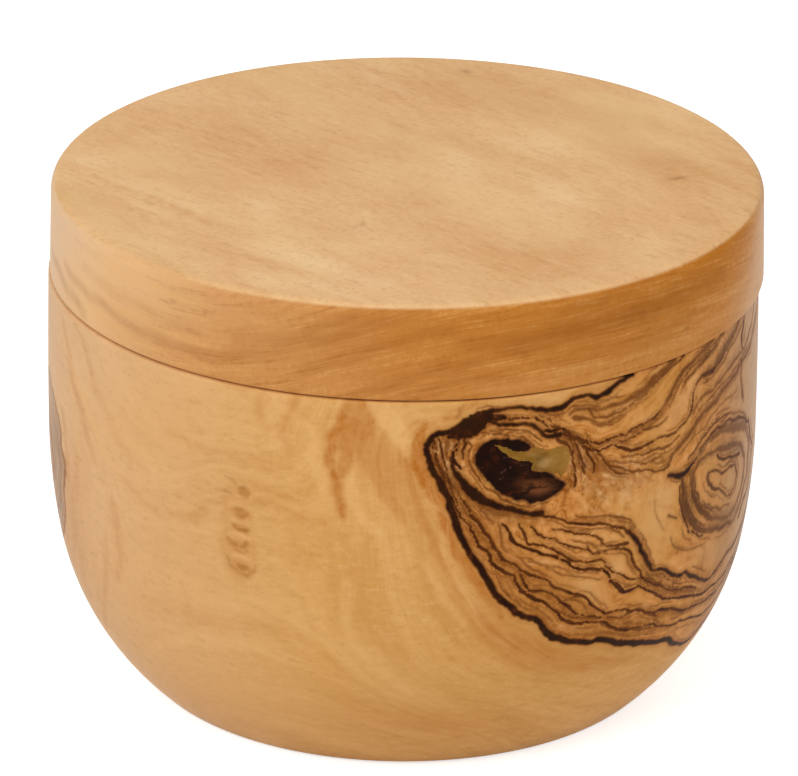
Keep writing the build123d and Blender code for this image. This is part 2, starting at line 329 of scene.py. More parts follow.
# Edge of the greyer patch far round on the left.
PATCH_EDGE = [
    (-82, 46, 0.4), (-77, 44.6, 0.4), (-73, 42.4, 0.5), (-71.6, 40.6, 0.5), (-71.8, 38.6, 0.6),
    (-70, 37, 0.8), (-69.4, 35.4, 0.9), (-70.2, 33.4, 0.8), (-71, 31.5, 0.7), (-71.2, 29, 0.6),
    (-72.6, 26.5, 0.5), (-75, 24, 0.6), (-82, 20.5, 0.5), (-94, 18.5, 0.5), (-106, 22, 0.5),
    (-114, 29, 0.6), (-115, 36, 0.5), (-108, 43, 0.5), (-96, 47, 0.4), (-82, 46, 0.4),
]
VEINS = [
    (0, 1, OUTLINE_VEIN),
    # arc under the knot, running on as the upper edge of the lower veins
    (17, 1, [
        (7.5, 51.8, 0.4), (7.8, 50.3, 0.5), (8.7, 49, 0.8), (9.8, 47.5, 1.2), (11.2, 46.2, 1.4),
        (12.8, 45.2, 1.25), (14.6, 44.4, 1.05), (16.5, 43.8, 0.85), (18.3, 43.2, 0.75), (20, 42.6, 0.6),
        (22, 42.5, 0.9)]),
    (18, 0.6, [
        (20.4, 42.1, 0.2), (22, 42.2, 0.25), (24.2, 41.6, 0.35), (26, 40.8, 0.25), (28, 40, 0.35),
        (30.5, 39.4, 0.4), (33, 39, 0.35), (34.6, 38.3, 0.3), (36.4, 37.7, 0.35), (37.6, 36.9, 0.4),
        (38.6, 36, 0.3)]),
    (18, 0.95, [
        (38, 36.9, 0.3), (39.1, 35.7, 0.6), (40.1, 34.6, 0.7), (40.8, 33.2, 0.75), (42.6, 30.8, 0.65),
        (43.4, 29.7, 0.5), (44.4, 29.15, 0.4), (46, 28.95, 0.5), (47.5, 28.1, 0.5), (48.8, 27.2, 0.6),
        (50.2, 26.6, 0.5), (52.5, 26.5, 0.5), (55.8, 24.7, 0.55), (58, 23.5, 0.55), (59.8, 22.7, 0.5),
        (61.8, 22.4, 0.4), (64, 22.8, 0.35), (66.2, 23.5, 0.3), (72, 24.2, 0.4), (80, 27, 0.5),
        (83, 31, 0.5), (87, 34, 0.55), (89, 40, 0.5), (93, 44, 0.5), (94, 50, 0.45), (97, 55, 0.4),
        (97.5, 59.8, 0.35)]),
    # lower veins, from the outline inwards
    (3, 0.74, [
        (4.7, 53.6, 0.35), (5.1, 51, 0.35), (6.4, 49, 0.3), (8.1, 45, 0.3), (9, 43.2, 0.3),
        (10.8, 41, 0.45), (11.6, 39.6, 0.45), (13.6, 37.6, 0.45), (13.7, 36.2, 0.5), (14.8, 35.3, 0.5),
        (17.7, 33.8, 0.4), (18.3, 32.4, 0.5), (19.1, 31.1, 0.55), (21.3, 29.7, 0.5), (22.7, 29.1, 0.45),
        (25.4, 27, 0.6), (26.4, 25.8, 0.6), (27.8, 25, 0.5), (30, 24.3, 0.4), (32.4, 24, 0.35),
        (35.3, 22.9, 0.5), (38.6, 21.3, 0.4), (42.6, 20.6, 0.3), (47, 19.5, 0.3), (54, 18.2, 0.3),
        (62, 16.2, 0.3), (72, 16.8, 0.3), (84, 21.5, 0.4), (94, 31, 0.4), (101, 42, 0.35), (105, 52, 0.3),
        (107, 59.8, 0.3)]),
    (6.5, 0.74, [
        (8.2, 47.6, 0.4), (9.2, 45.7, 0.45), (10.3, 44.1, 0.6), (11.3, 42.6, 0.6), (12.9, 40.5, 0.5),
        (13.9, 39.2, 0.45), (14.7, 37.9, 0.5), (15.5, 36.7, 0.5), (17, 35.8, 0.35), (18.6, 34.6, 0.4),
        (21.5, 33.1, 0.35), (23.4, 32.2, 0.3), (24.7, 30.9, 0.35), (28, 29.4, 0.3), (30.8, 28, 0.3),
        (33.1, 25.8, 0.3), (34.6, 24.8, 0.35), (38.8, 24.5, 0.3), (42.1, 23.5, 0.4), (45.5, 22.1, 0.5),
        (52.5, 20.4, 0.4), (62, 18.6, 0.3), (72, 19.4, 0.3), (80, 22, 0.4), (92, 34, 0.4), (97, 43, 0.3),
        (101, 59.8, 0.3)]),
    (None, 0.76, [(18.7, 34, 0.45), (19.4, 32.4, 0.4), (20.3, 31, 0.4), (23.5, 30.4, 0.3)]),
    (4.7, 0.76, [
        (23.5, 30.4, 0.3), (24.8, 29.6, 0.35), (25.8, 28.5, 0.4), (27.2, 27.6, 0.45), (28.4, 26.4, 0.4),
        (29.4, 25.8, 0.35), (32.6, 24.9, 0.3), (33.8, 24.4, 0.25)]),
    (10.5, 0.78, [
        (15.7, 41.6, 0.3), (16.6, 40.7, 0.4), (17.1, 39.4, 0.5), (18.1, 38.3, 0.35), (21.6, 36.8, 0.32),
        (23.6, 36, 0.4), (25.3, 35.1, 0.36), (28, 33.4, 0.5), (29.6, 32.8, 0.46), (33, 32.2, 0.5),
        (34.1, 31.3, 0.7), (35.3, 29.9, 0.8), (36.5, 29, 0.9), (37.1, 28.1, 0.7), (38.3, 27.4, 0.45),
        (41.3, 27.6, 0.3), (42.5, 26.8, 0.35), (45.5, 25, 0.4), (49.5, 23.3, 0.4), (54, 22.1, 0.4),
        (60, 20.5, 0.35), (66, 20.2, 0.3), (74, 21.6, 0.3), (84, 28, 0.4), (90, 36, 0.4), (95, 47, 0.35),
        (98.5, 59.8, 0.3)]),
    (12, 0.62, [
        (18.3, 41.4, 0.25), (19, 40.2, 0.3), (20, 38.1, 0.25), (22.6, 37.6, 0.25), (24.1, 36.8, 0.3),
        (26.8, 35, 0.3), (29.8, 33.9, 0.25), (33.2, 33.5, 0.3), (33.8, 32.6, 0.35), (36.8, 30.5, 0.35),
        (39.8, 29, 0.25), (41.1, 28.7, 0.25)]),
    (14, 0.68, [
        (20.2, 40.7, 0.3), (21.3, 39.6, 0.3), (22.6, 38.7, 0.25), (24.4, 38.4, 0.22), (25.5, 37.4, 0.3),
        (28.8, 36.2, 0.25), (30.3, 35.7, 0.22), (31.3, 34.8, 0.22), (36.6, 34.4, 0.25), (38, 34, 0.35),
        (38.8, 33.2, 0.4), (39.1, 32.1, 0.4), (41, 30.1, 0.3), (41.3, 29, 0.35), (44.3, 27, 0.3),
        (48, 25.2, 0.3), (53, 23.9, 0.3), (57, 22.4, 0.25)]),
    (16, 0.58, [
        (24, 39.8, 0.25), (26, 39.3, 0.3), (27.8, 38.5, 0.3), (31.8, 37.4, 0.3), (32.8, 36.7, 0.35),
        (33, 36, 0.35), (34.3, 35.5, 0.4), (38, 35, 0.4)]),
    # upper veins, sweeping up to the rim
    (None, 1, [
        (7.2, 54.9, 0.6), (8.6, 55, 1.3), (10.4, 55.7, 2.2), (12.2, 56.8, 2.2), (13.8, 57.2, 1.4),
        (15.8, 57.1, 0.6)]),
    (None, 0.75, [
        (13.4, 57.4, 0.4), (15, 57, 0.25), (18.5, 56.9, 0.25), (20.4, 56.6, 0.25), (21.8, 56, 0.25),
        (22.8, 55.1, 0.25), (24.6, 54.6, 0.25)]),
    (None, 0.95, [
        (13.4, 56.8, 0.6), (15, 56.1, 0.5), (17.5, 55.9, 0.45), (20.3, 55.6, 0.5), (21.4, 54.8, 0.45),
        (22.1, 53.9, 0.5), (23.4, 53.5, 0.6), (25, 53.5, 0.7)]),
    (6, 0.66, [
        (25, 53.6, 0.7), (26.4, 53.1, 0.5), (28, 52.4, 0.4), (29.6, 51.9, 0.35), (31.6, 51.1, 0.3),
        (35, 51.5, 0.3), (37, 51.2, 0.35), (38.2, 51.8, 0.3), (42.6, 52.3, 0.3), (44.3, 53, 0.3)]),
    (6, 0.45, [
        (44.3, 53, 0.3), (46, 54.4, 0.5), (47.4, 55.7, 0.6), (48.8, 56.9, 0.7), (50.2, 57.8, 0.5),
        (54, 58.8, 0.4), (58, 59.8, 0.35)]),
    (2, 0.45, [
        (26.6, 56.2, 0.3), (27.6, 56.8, 0.35), (30, 56.5, 0.3), (31.5, 55.9, 0.3), (36, 56.1, 0.35),
        (38, 56.4, 0.5), (40, 56.8, 0.8), (42, 57.6, 1), (44, 58.4, 1), (47.5, 59.8, 0.8)]),
    (None, 0.4, [(27.6, 55.5, 0.8), (29.2, 55.2, 0.4), (32, 54, 0.3), (34, 53.8, 0.3), (36.4, 54.3, 0.25)]),
    (None, 0.7, [(28.2, 52, 0.35), (29.2, 51, 0.3), (31.8, 49.9, 0.35)]),
    (9.5, 0.68, [
        (31.8, 49.9, 0.3), (34.6, 50.4, 0.25), (36.3, 49.6, 0.35), (38.1, 48.7, 0.4), (42, 48.9, 0.25),
        (44, 49.2, 0.22), (46.2, 48.9, 0.22), (48.4, 49, 0.22), (50.4, 49.8, 0.25), (51.7, 50.6, 0.3),
        (52.3, 52, 0.28), (52.4, 53.5, 0.28), (53.2, 54.6, 0.3)]),
    (9.5, 0.7, [
        (53.2, 54.6, 0.3), (54.6, 55.4, 0.45), (56, 55.3, 0.65), (58, 55.1, 0.7), (60, 55.8, 0.4),
        (62, 56.8, 0.3)]),
    (9.5, 0.4, [
        (58.6, 55.4, 0.6), (60, 56.2, 1.3), (62, 57, 1.4), (64, 57.7, 1.1), (66.2, 58.5, 0.8),
        (69, 59.8, 0.5)]),
    (8, 0.45, [(50.2, 55.8, 0.35), (54.4, 57.2, 0.35), (57, 57.9, 0.5), (62, 59.8, 0.3)]),
    (12.5, 0.36, [
        (52.6, 50.4, 0.3), (53.4, 51.4, 0.35), (54.8, 52.2, 0.4), (57, 52.3, 0.4), (62.4, 53.4, 0.4),
        (69, 54.4, 0.4), (74, 56, 0.4), (79, 59.8, 0.3)]),
    (15, 0.4, [
        (33, 48.2, 0.25), (34.4, 48, 0.22), (36, 47.4, 0.22), (38, 47.2, 0.25), (40, 46.5, 0.25),
        (42.4, 46.1, 0.25), (44.6, 46.3, 0.2)]),
    (15, 0.42, [
        (46.3, 44.6, 0.3), (47.3, 45.8, 0.5), (50, 47, 0.6), (53.8, 49, 0.6), (55.6, 49.8, 0.5),
        (60, 50.5, 0.6), (62.4, 51.4, 0.6), (67, 52, 0.6), (75, 53.5, 0.5), (85, 59.8, 0.4)]),
    # rings of the small eye on the right
    (21, 0.9, [
        (46.5, 42.9, 0.4), (47.6, 42.7, 0.55), (49, 42.2, 0.8), (50.2, 42, 0.9), (51.8, 42.6, 0.5),
        (53, 43.1, 0.3)]),
    (21, 0.55, [
        (51.8, 42.7, 0.4), (53.6, 43.6, 0.4), (55.6, 44.9, 0.4), (57.8, 45.7, 0.4), (60, 46.2, 0.35),
        (64, 46, 0.35), (70, 44.2, 0.4), (75, 42, 0.4), (79, 37, 0.4), (77, 31, 0.4), (72, 28.4, 0.5)]),
    (21.6, 0.34, [
        (57.8, 44.8, 0.5), (60, 45.2, 0.9), (62.4, 45.2, 1.1), (65.2, 44.5, 1.2), (68.5, 43.4, 1.1),
        (73, 41.6, 0.9), (75.8, 38.4, 0.8), (75.2, 34, 0.8), (72, 30.6, 0.8), (68, 28.8, 0.6)]),
    (21.6, 0.5, [
        (50, 41.8, 0.6), (50.1, 40.3, 0.7), (50.4, 38, 0.9), (51.5, 35.8, 1), (53, 34, 1),
        (54.7, 32.5, 0.9), (56.5, 31.5, 0.8), (58.7, 31, 0.7), (64, 29.7, 0.6), (68, 28.8, 0.6)]),
    (None, 0.7, [
        (49.4, 40.6, 0.2), (49.4, 38.6, 0.25), (50, 36.6, 0.3), (51.4, 34.4, 0.35), (52.3, 32.8, 0.35),
        (54.4, 31.8, 0.3), (56.6, 30.9, 0.3)]),
    (None, 0.5, [
        (51, 40, 0.2), (51.2, 38, 0.25), (52.6, 35.6, 0.3), (54.4, 33.8, 0.25), (56.6, 32.4, 0.2)]),
    (24, 0.52, [
        (54.3, 42.7, 0.3), (52.9, 41.5, 0.4), (52.6, 39.8, 0.6), (52.9, 38, 0.7), (54.3, 36.2, 0.7),
        (55.8, 34.7, 0.9), (57.8, 33.4, 0.8), (59.4, 32.4, 0.7)]),
    (24, 0.4, [
        (59.4, 32.4, 0.7), (64.4, 30.8, 0.6), (68.5, 31, 0.5), (72.4, 34, 0.5), (72.6, 37.4, 0.5),
        (70.5, 39.8, 0.6), (65, 41.6, 0.9), (62.5, 42.2, 0.7), (60, 42.8, 0.4), (56.4, 43.1, 0.3),
        (54.3, 42.7, 0.3)]),
    (None, 0.5, [
        (53.6, 40.6, 0.2), (53.4, 38.6, 0.25), (55, 36.4, 0.3), (57, 34.9, 0.25), (59.4, 34, 0.2)]),
    (None, 0.6, [(60.2, 41.9, 0.35), (61.6, 40.9, 0.35), (63.8, 40.3, 0.35), (69.5, 39, 0.4)]),
    (26, 0.36, [(55.8, 35.7, 0.35), (58, 35.2, 0.35), (60, 34, 0.4), (62, 33, 0.4), (66, 32.6, 0.3)]),
    (27.5, 0.5, [
        (57.1, 39.6, 0.45), (57.4, 40.1, 0.4), (58.6, 40.1, 0.3), (60.4, 39.5, 0.35), (62, 38.5, 0.35),
        (67.3, 38.1, 0.3), (68.6, 36.4, 0.3), (67.6, 34.6, 0.3), (65.8, 33.9, 0.35), (64, 34.5, 0.35),
        (62.3, 35.7, 0.35), (58.6, 37.5, 0.4), (57.5, 38.5, 0.5), (57.1, 39.6, 0.5)]),
    # fine lines over the knot
    (None, 0.5, [
        (13.4, 54.9, 0.15), (15, 54.8, 0.25), (17, 54.5, 0.25), (18.8, 54.1, 0.25), (19.8, 53.2, 0.25),
        (20.8, 52.2, 0.2), (22, 51.6, 0.3), (23, 51.5, 0.2)]),
    (None, 0.45, [
        (11.8, 55.2, 0.2), (14, 55.3, 0.2), (17, 55.2, 0.25), (19.6, 54.8, 0.25), (21, 53.7, 0.25),
        (22, 53, 0.15)]),
    (None, 0.5, [(21.5, 56.8, 0.15), (23, 56.2, 0.25), (24, 55.2, 0.25), (25, 54.6, 0.2)]),
    (None, 0.45, [
        (9.9, 54.6, 0.2), (10.7, 53.4, 0.3), (10.2, 52, 0.25), (10.5, 50.6, 0.25), (11.8, 48.8, 0.3),
        (13.2, 47, 0.3), (15.2, 45.5, 0.3), (17.6, 44.3, 0.25), (20, 43.6, 0.2), (23, 43.9, 0.15)]),
    (None, 0.85, [(8.8, 55, 0.5), (8.4, 53.6, 0.4), (7.9, 52.4, 0.5), (8, 51.2, 0.5), (9, 50.2, 0.3)]),
    (None, 0.8, [
        (5.6, 54.6, 0.3), (6, 52.6, 0.35), (6.6, 50.6, 0.45), (7.2, 48.6, 0.6), (7.8, 46.6, 0.5),
        (8.6, 44.8, 0.3)]),
    (None, 0.75, [(4.8, 54.4, 0.3), (5.2, 52.4, 0.4), (5.9, 50.4, 0.4), (6.8, 48.4, 0.3)]),
    (None, 0.7, [(9.4, 54.8, 0.4), (9.8, 53.8, 0.4), (9.2, 52.8, 0.3), (9.4, 51.6, 0.2)]),
    (None, 0.4, [(7, 54.8, 0.4), (6.6, 53.2, 0.25), (7, 51.6, 0.25)]),
    # faint lines between the lower veins
    (None, 0.4, [(8.6, 46.4, 0.2), (9.6, 44.2, 0.3), (10.4, 42.6, 0.3), (11.2, 41, 0.2)]),
    (None, 0.35, [(15, 41.8, 0.3), (15.5, 40, 0.35), (15.6, 38.6, 0.25), (16.6, 37.4, 0.2)]),
    (None, 0.4, [(12.2, 44, 0.3), (13.4, 42.6, 0.3), (14.4, 41.8, 0.2)]),
    (None, 0.35, [
        (20, 35.6, 0.15), (22.6, 34.6, 0.2), (26, 32.6, 0.2), (30, 31.5, 0.25), (33, 30.6, 0.15)]),
    (None, 0.35, [
        (18, 36.6, 0.15), (20.6, 35.8, 0.2), (23.6, 34.2, 0.25), (26, 33.6, 0.2), (28, 32.4, 0.15)]),
    (None, 0.5, [
        (26, 28.4, 0.2), (28.6, 28.9, 0.25), (30.4, 28.4, 0.25), (31.6, 27.2, 0.25), (33, 25.9, 0.2)]),
    (None, 0.5, [
        (24.6, 27.8, 0.2), (26.6, 26.6, 0.3), (28.2, 25.6, 0.3), (30.6, 25.2, 0.25), (33, 24.4, 0.2)]),
    (None, 0.5, [(34, 23.4, 0.2), (36.6, 22, 0.3), (40, 21.2, 0.3), (43.6, 20, 0.25), (48, 19, 0.2)]),
    (None, 0.55, [
        (35, 24.2, 0.2), (38.4, 23.4, 0.3), (41, 23.8, 0.3), (43.6, 22.6, 0.35), (46.4, 21.4, 0.2)]),
    (None, 0.5, [
        (41.8, 28.6, 0.25), (44, 27.9, 0.3), (46, 26.8, 0.25), (48, 25.7, 0.25), (50.6, 24.6, 0.2)]),
    (None, 0.45, [
        (43, 29, 0.2), (45, 28.4, 0.25), (47.4, 26.9, 0.25), (50, 25.4, 0.25), (53.4, 24.6, 0.2)]),
    (None, 0.4, [
        (28, 41.2, 0.2), (31, 40.4, 0.25), (34, 40, 0.3), (36.4, 39.3, 0.3), (38.4, 38.4, 0.25),
        (39.4, 37, 0.2)]),
    (None, 0.4, [(28.6, 38.8, 0.2), (31, 38.6, 0.2), (34, 38.2, 0.3), (36, 37.2, 0.3), (37.2, 36.1, 0.2)]),
    (None, 0.45, [(30.2, 36.2, 0.2), (31, 35, 0.25), (32.6, 34.6, 0.2)]),
    (None, 0.14, [(43.4, 40, 0.2), (43.6, 38.4, 0.25), (44.6, 36.6, 0.25), (46, 34.8, 0.2)]),
    (None, 0.24, [
        (47.6, 33.4, 0.2), (48.6, 31.6, 0.3), (50.6, 30.6, 0.25), (54, 29.7, 0.2), (58, 29.4, 0.15)]),
    # faint lines between the upper veins
    (None, 0.4, [(22.4, 57, 0.2), (24.6, 56.4, 0.2), (27, 57.3, 0.25), (30, 57, 0.25), (32, 56.3, 0.2)]),
    (None, 0.45, [
        (29.8, 56.6, 0.2), (31, 55, 0.3), (33.4, 54.6, 0.3), (36.4, 55, 0.25), (39, 55.9, 0.3),
        (41.4, 56.4, 0.2)]),
    (None, 0.35, [(30.4, 54.6, 0.2), (32, 53.7, 0.25), (34.6, 53.4, 0.2), (37, 54.2, 0.2)]),
    (None, 0.5, [
        (34.2, 51, 0.2), (36.4, 50.4, 0.3), (38.4, 50.6, 0.35), (41, 51.2, 0.3), (44, 51, 0.3),
        (46, 51.8, 0.15)]),
    (None, 0.45, [
        (36.4, 48.2, 0.2), (38.6, 47.8, 0.25), (41, 47.5, 0.3), (44, 47.7, 0.3), (46.4, 47.4, 0.3),
        (49, 48.2, 0.2)]),
    (None, 0.5, [
        (33.4, 47.6, 0.2), (36.4, 46.6, 0.3), (39, 45.4, 0.3), (42, 45, 0.3), (45, 44.2, 0.3),
        (46.6, 44.4, 0.2)]),
    (None, 0.5, [(42.5, 57.2, 0.25), (45, 58.2, 0.35), (48, 59.2, 0.35), (50, 59.8, 0.25)]),
    (None, 0.45, [
        (46.4, 53, 0.2), (47.6, 54.6, 0.3), (49.4, 56.4, 0.35), (51.4, 57.4, 0.3), (55, 58, 0.25),
        (60, 59.4, 0.2)]),
    (None, 0.4, [(56, 54.4, 0.2), (59, 54.6, 0.3), (62, 55.4, 0.35), (66, 57, 0.3), (70, 58.6, 0.2)]),
    (None, 0.35, [(54, 50.6, 0.2), (57.6, 51.4, 0.3), (62, 52.2, 0.3), (67, 53, 0.3), (72, 54.2, 0.2)]),
    (None, 0.3, [(49, 45.4, 0.2), (53, 47, 0.3), (58, 48.6, 0.3), (63, 49.4, 0.3), (68, 49.8, 0.2)]),
    (None, 0.5, [(51.4, 44, 0.2), (54, 45.4, 0.3), (57, 46.6, 0.3), (60.4, 47.2, 0.3), (65, 46.8, 0.2)]),
    # fine dark check, and short strokes in the tangle right of the knot
    (None, 0.65, [
        (70.6, 59.2, 0.3), (70, 57.6, 0.4), (69.3, 56.5, 0.45), (69.5, 55.2, 0.3), (70, 54.6, 0.2)]),
    (None, 0.6, [
        (68.9, 53.4, 0.35), (69.7, 52.3, 0.3), (69.2, 50.5, 0.2), (69.8, 49, 0.25), (71, 46.5, 0.2)]),
    (None, 0.6, [
        (24.2, 53.9, 0.5), (25.2, 52.4, 0.5), (26.4, 51.8, 0.4), (27, 50.6, 0.3), (27.3, 49, 0.3),
        (27.8, 46.9, 0.3), (27.7, 45.6, 0.35)]),
    (None, 0.6, [(26.4, 53.8, 0.4), (28, 51.3, 0.35), (28.8, 49.4, 0.3), (29.5, 48, 0.2)]),
    (None, 0.6, [(27.8, 52.8, 0.4), (29.6, 51, 0.3), (30.3, 49.4, 0.25), (31.2, 48.2, 0.3), (31, 47, 0.2)]),
    (None, 0.5, [
        (31.8, 49.8, 0.25), (33.2, 48, 0.3), (34.6, 46.6, 0.25), (36, 45.8, 0.4), (37.6, 45.4, 0.2)]),
    (None, 0.85, [(22.4, 54.5, 0.3), (23.6, 54.2, 0.5), (25, 54.4, 0.4), (26.2, 53.7, 0.3)]),
    (None, 0.8, [(26.6, 52.8, 0.3), (27.3, 51.6, 0.45), (27.1, 50.2, 0.3)]),
    (None, 0.75, [(28.6, 52.3, 0.3), (29.8, 51.6, 0.45), (30.8, 50.6, 0.35), (31.8, 50.1, 0.25)]),
    (None, 0.65, [(28.2, 50.2, 0.2), (28.6, 48.6, 0.35), (29.4, 47.2, 0.2)]),
    (None, 0.45, [(46.7, 36.9, 0.35), (47.9, 36.3, 0.3), (48.9, 35.9, 0.2)]),
    (-37, 0.28, PATCH_EDGE),
    (-41, 0.3, [
        (-88, 41, 0.5), (-80, 37.5, 0.6), (-78, 33, 0.7), (-82, 28, 0.6), (-92, 25, 0.5),
        (-102, 27.5, 0.5), (-106, 33, 0.5), (-100, 39, 0.5), (-88, 41, 0.5)]),
]
# Plain rings of the pale wood: ring number and a few points they pass through.
PLAIN_RINGS = [
    (-5, [(2, 52), (4, 46), (7, 38), (11, 31), (17, 24), (25, 18.6), (38, 14.5), (55, 9)]),
    (-12, [(-1, 50), (0.5, 42), (2.5, 34), (7, 26), (15, 18.5), (28, 13.5), (48, 7)]),
    (-21, [(-8, 59.8), (-8.6, 52), (-8, 44), (-7.5, 37), (-8, 30), (-5, 24), (0, 18), (9, 13.5), (24, 9)]),
    (-20, [
        (-62, 48), (-55, 43), (-48, 39.5), (-40, 38.3), (-34, 39.5), (-29, 42.5), (-20, 43.5),
        (-13.5, 44.5), (-11.5, 49), (-11, 54), (-9.6, 59.8)]),
    (-13, [
        (-60, 57), (-50, 48.5), (-42, 45.5), (-36, 46.5), (-30, 48.5), (-20, 49), (-15, 51.5),
        (-12.5, 59.8)]),
    (-5, [(-46, 59.8), (-40, 55), (-32, 54), (-24, 56), (-22, 59.8)]),
    (-25, [(-54, 40), (-51, 32), (-52.5, 24), (-57, 15), (-63, 7)]),
    (-25, [(-44, 31), (-34, 32), (-24, 31), (-15, 30)]),
    (-31, [(-61, 42), (-59.5, 35), (-61, 27), (-66, 17)]),
    (-30, [(-56, 8), (-48, 14.5), (-40, 19), (-30, 21), (-20, 20.5), (-10, 17.5), (0, 12.5), (12, 8.5)]),
    (-38, [(-48, 6), (-38, 11.5), (-28, 13.5), (-16, 12), (-4, 8), (10, 4)]),
    (-46, [(-34, 4), (-20, 5), (-6, 2)]),
    (20, [(14, 51), (20.5, 50.5), (24, 47)]),
    (17, [(8.4, 53.6), (10, 54.7), (12.4, 55.4), (15, 55.5), (18, 55.2), (20.4, 54.3)]),
    (18.8, [(9.6, 52), (10, 50), (11.2, 53.6), (13.8, 54.9), (17, 54.9), (19.8, 53.9)]),
    (18.8, [(11.2, 47.8), (13, 46.4), (15.6, 45), (18.6, 43.9), (21, 43.3)]),
    (29.5, [(63, 37)]),
    (19, [(27, 46), (31, 44), (36, 42.6), (42, 41), (45.5, 36), (50, 30), (56, 27.5), (66, 26)]),
    (-10, [(122, 59.8), (120, 48), (114, 36), (106, 25), (95, 16), (82, 8)]),
    (-20, [(132, 59.8), (130, 46), (124, 33), (114, 21), (100, 10)]),
    (-30, [(150, 59.8), (146, 44), (138, 30), (124, 14)]),
    (-38, [(172, 50), (164, 36), (152, 20), (140, 8)]),
    (-30, [(205, 59.8), (196, 44), (190, 28), (176, 12)]),
    (-22, [(225, 59.8), (222, 44), (216, 28), (205, 12)]),
    (-30, [(-112, 58), (-122, 44), (-128, 30), (-124, 16), (-108, 9), (-88, 8)]),
    (-20, [(-84, 59.8), (-74, 52), (-66, 50)]),
]
# Outline of the dark knot.
KNOT = [
    (11.2, 51.2), (11.6, 52.8), (12.6, 53.8), (14.2, 54.4), (16.5, 54.2), (18.4, 53.8), (19.6, 53.1),
    (20.4, 52.3), (19.4, 51.6), (20.6, 50.4), (20.4, 48.8), (22, 48.6), (23.6, 48.2), (24.6, 47.2),
    (26.2, 46), (25, 45.1), (23.4, 44.5), (22, 44), (20, 44.1), (18, 44.8), (16, 45.7), (14.3, 47),
    (12.8, 48.6), (11.6, 50),
]
# Soft-edged strokes of browner and of paler wood, one brown stroke being painted shade: strength and run.
BROWN_STROKES_AND_SHADE = [
    (0.95, [
        (-7.4, 60.5, 1), (-9.4, 57, 1.1), (-10.9, 54.5, 1), (-11.2, 51.6, 0.9), (-10.5, 49, 1),
        (-9.9, 46.6, 1.2), (-9.2, 44.6, 0.9), (-9, 43.2, 0.3)]),
    (0.7, [(-5.2, 60.2, 3.4), (-6.8, 57, 4.2), (-7.6, 54, 3.8), (-8.6, 51, 2), (-9.4, 49, 0.8)]),
    (0.5, [
        (-2.8, 53.4, 1.4), (-4.6, 52.8, 2.4), (-4.2, 50.4, 2.6), (-2.6, 47.6, 2.2), (-1, 45, 1.5),
        (0.4, 42.6, 0.5)]),
    (0.6, [(-4.6, 56.4, 0.6), (-4.4, 53.6, 0.9), (-3.6, 50.4, 1.1), (-2.6, 47.6, 0.9), (-1.2, 44.6, 0.3)]),
    (0.95, [
        (3.6, 56.8, 0.8), (2.7, 54.6, 1.5), (2.6, 52.4, 2.2), (3.3, 50, 2.4), (4.8, 47, 2),
        (6.6, 43.4, 1.6), (8, 40, 1.4), (10.2, 36, 1.2), (12.8, 31.6, 0.9), (16, 27.6, 0.6)]),
    (0.55, [
        (0.4, 53.4, 0.9), (1, 50, 1.3), (2.4, 46, 1.2), (4.4, 41, 1), (6.4, 36.6, 0.8), (9.6, 31, 0.5)]),
    (0.35, [(-16.6, 59.6, 1), (-17.6, 56.4, 1.6), (-18.6, 54, 1.2), (-17.6, 51.6, 0.5)]),
    (0.3, [(-22, 59, 0.8), (-22.6, 56.6, 1), (-21, 54.6, 0.4)]),
    (0.35, [(-40, 50.8, 0.3), (-33, 49.4, 0.4), (-27, 49.6, 0.5), (-21, 48.6, 0.4), (-17, 49.6, 0.3)]),
    (0.3, [(-50, 40.8, 0.4), (-44, 38.6, 0.6), (-37, 38.6, 0.5), (-32, 41, 0.3)]),
    (0.35, [(-23, 44, 0.3), (-19, 43.2, 0.4), (-15.5, 42.2, 0.5), (-12, 42, 0.3)]),
    (0.3, [(-24, 46.4, 0.3), (-19, 45.2, 0.5), (-14, 44.4, 0.3)]),
    (0.2, [(-26, 45.2, 2.6), (-26.4, 41, 4.4), (-26.2, 37, 4.6), (-25.8, 33, 3.6)]),
    (0.3, [(-70, 57.4, 0.8), (-66, 52, 1.4), (-61, 46, 1.6), (-58, 41, 1)]),
    (0.25, [(-64, 59, 0.5), (-57.6, 52, 0.8), (-50, 45.6, 0.8), (-44, 43.6, 0.4)]),
    (0.35, [(-53, 24, 0.8), (-51, 29, 1.6), (-51.6, 34, 1.2), (-53, 37, 0.5)]),
    (0.3, [(-64, 13, 0.6), (-59, 19, 1), (-56, 25, 1.2), (-55.4, 30, 0.6)]),
    (0.25, [(-42, 22.4, 0.6), (-36, 23.6, 0.8), (-30, 22.4, 0.4)]),
    (0.3, [(-12, 21.5, 0.6), (-8, 18, 0.9), (-1, 13, 0.6), (7, 10.4, 0.4)]),
    (0.35, [(-4, 9.8, 0.6), (1, 9.2, 0.9), (7, 9.4, 0.5)]),
    # painted shade: darker low towards the left edge of the bowl
    (0.36, [
        (-70.6, 44, 1.2), (-68.2, 38, 2), (-67.6, 32, 3), (-69.4, 26, 3.6), (-73, 21, 3.4), (-77, 18, 2)]),
    (0.35, [(0.4, 59.4, 0.6), (2.6, 57, 0.9), (3.4, 55.4, 0.8)]),
    (0.6, [(3.2, 56.6, 0.6), (5, 57, 0.8), (7.5, 57.8, 0.9), (10, 59, 0.9), (13, 59.6, 0.6)]),
    (0.3, [(14, 59.4, 0.5), (20, 59.2, 0.7), (26, 59.5, 0.5)]),
    (0.4, [
        (15.5, 26.8, 1.6), (18.5, 23.6, 2), (22, 21.4, 2.2), (27, 18.6, 2), (33, 17.2, 1.6),
        (40, 15.6, 0.8)]),
]
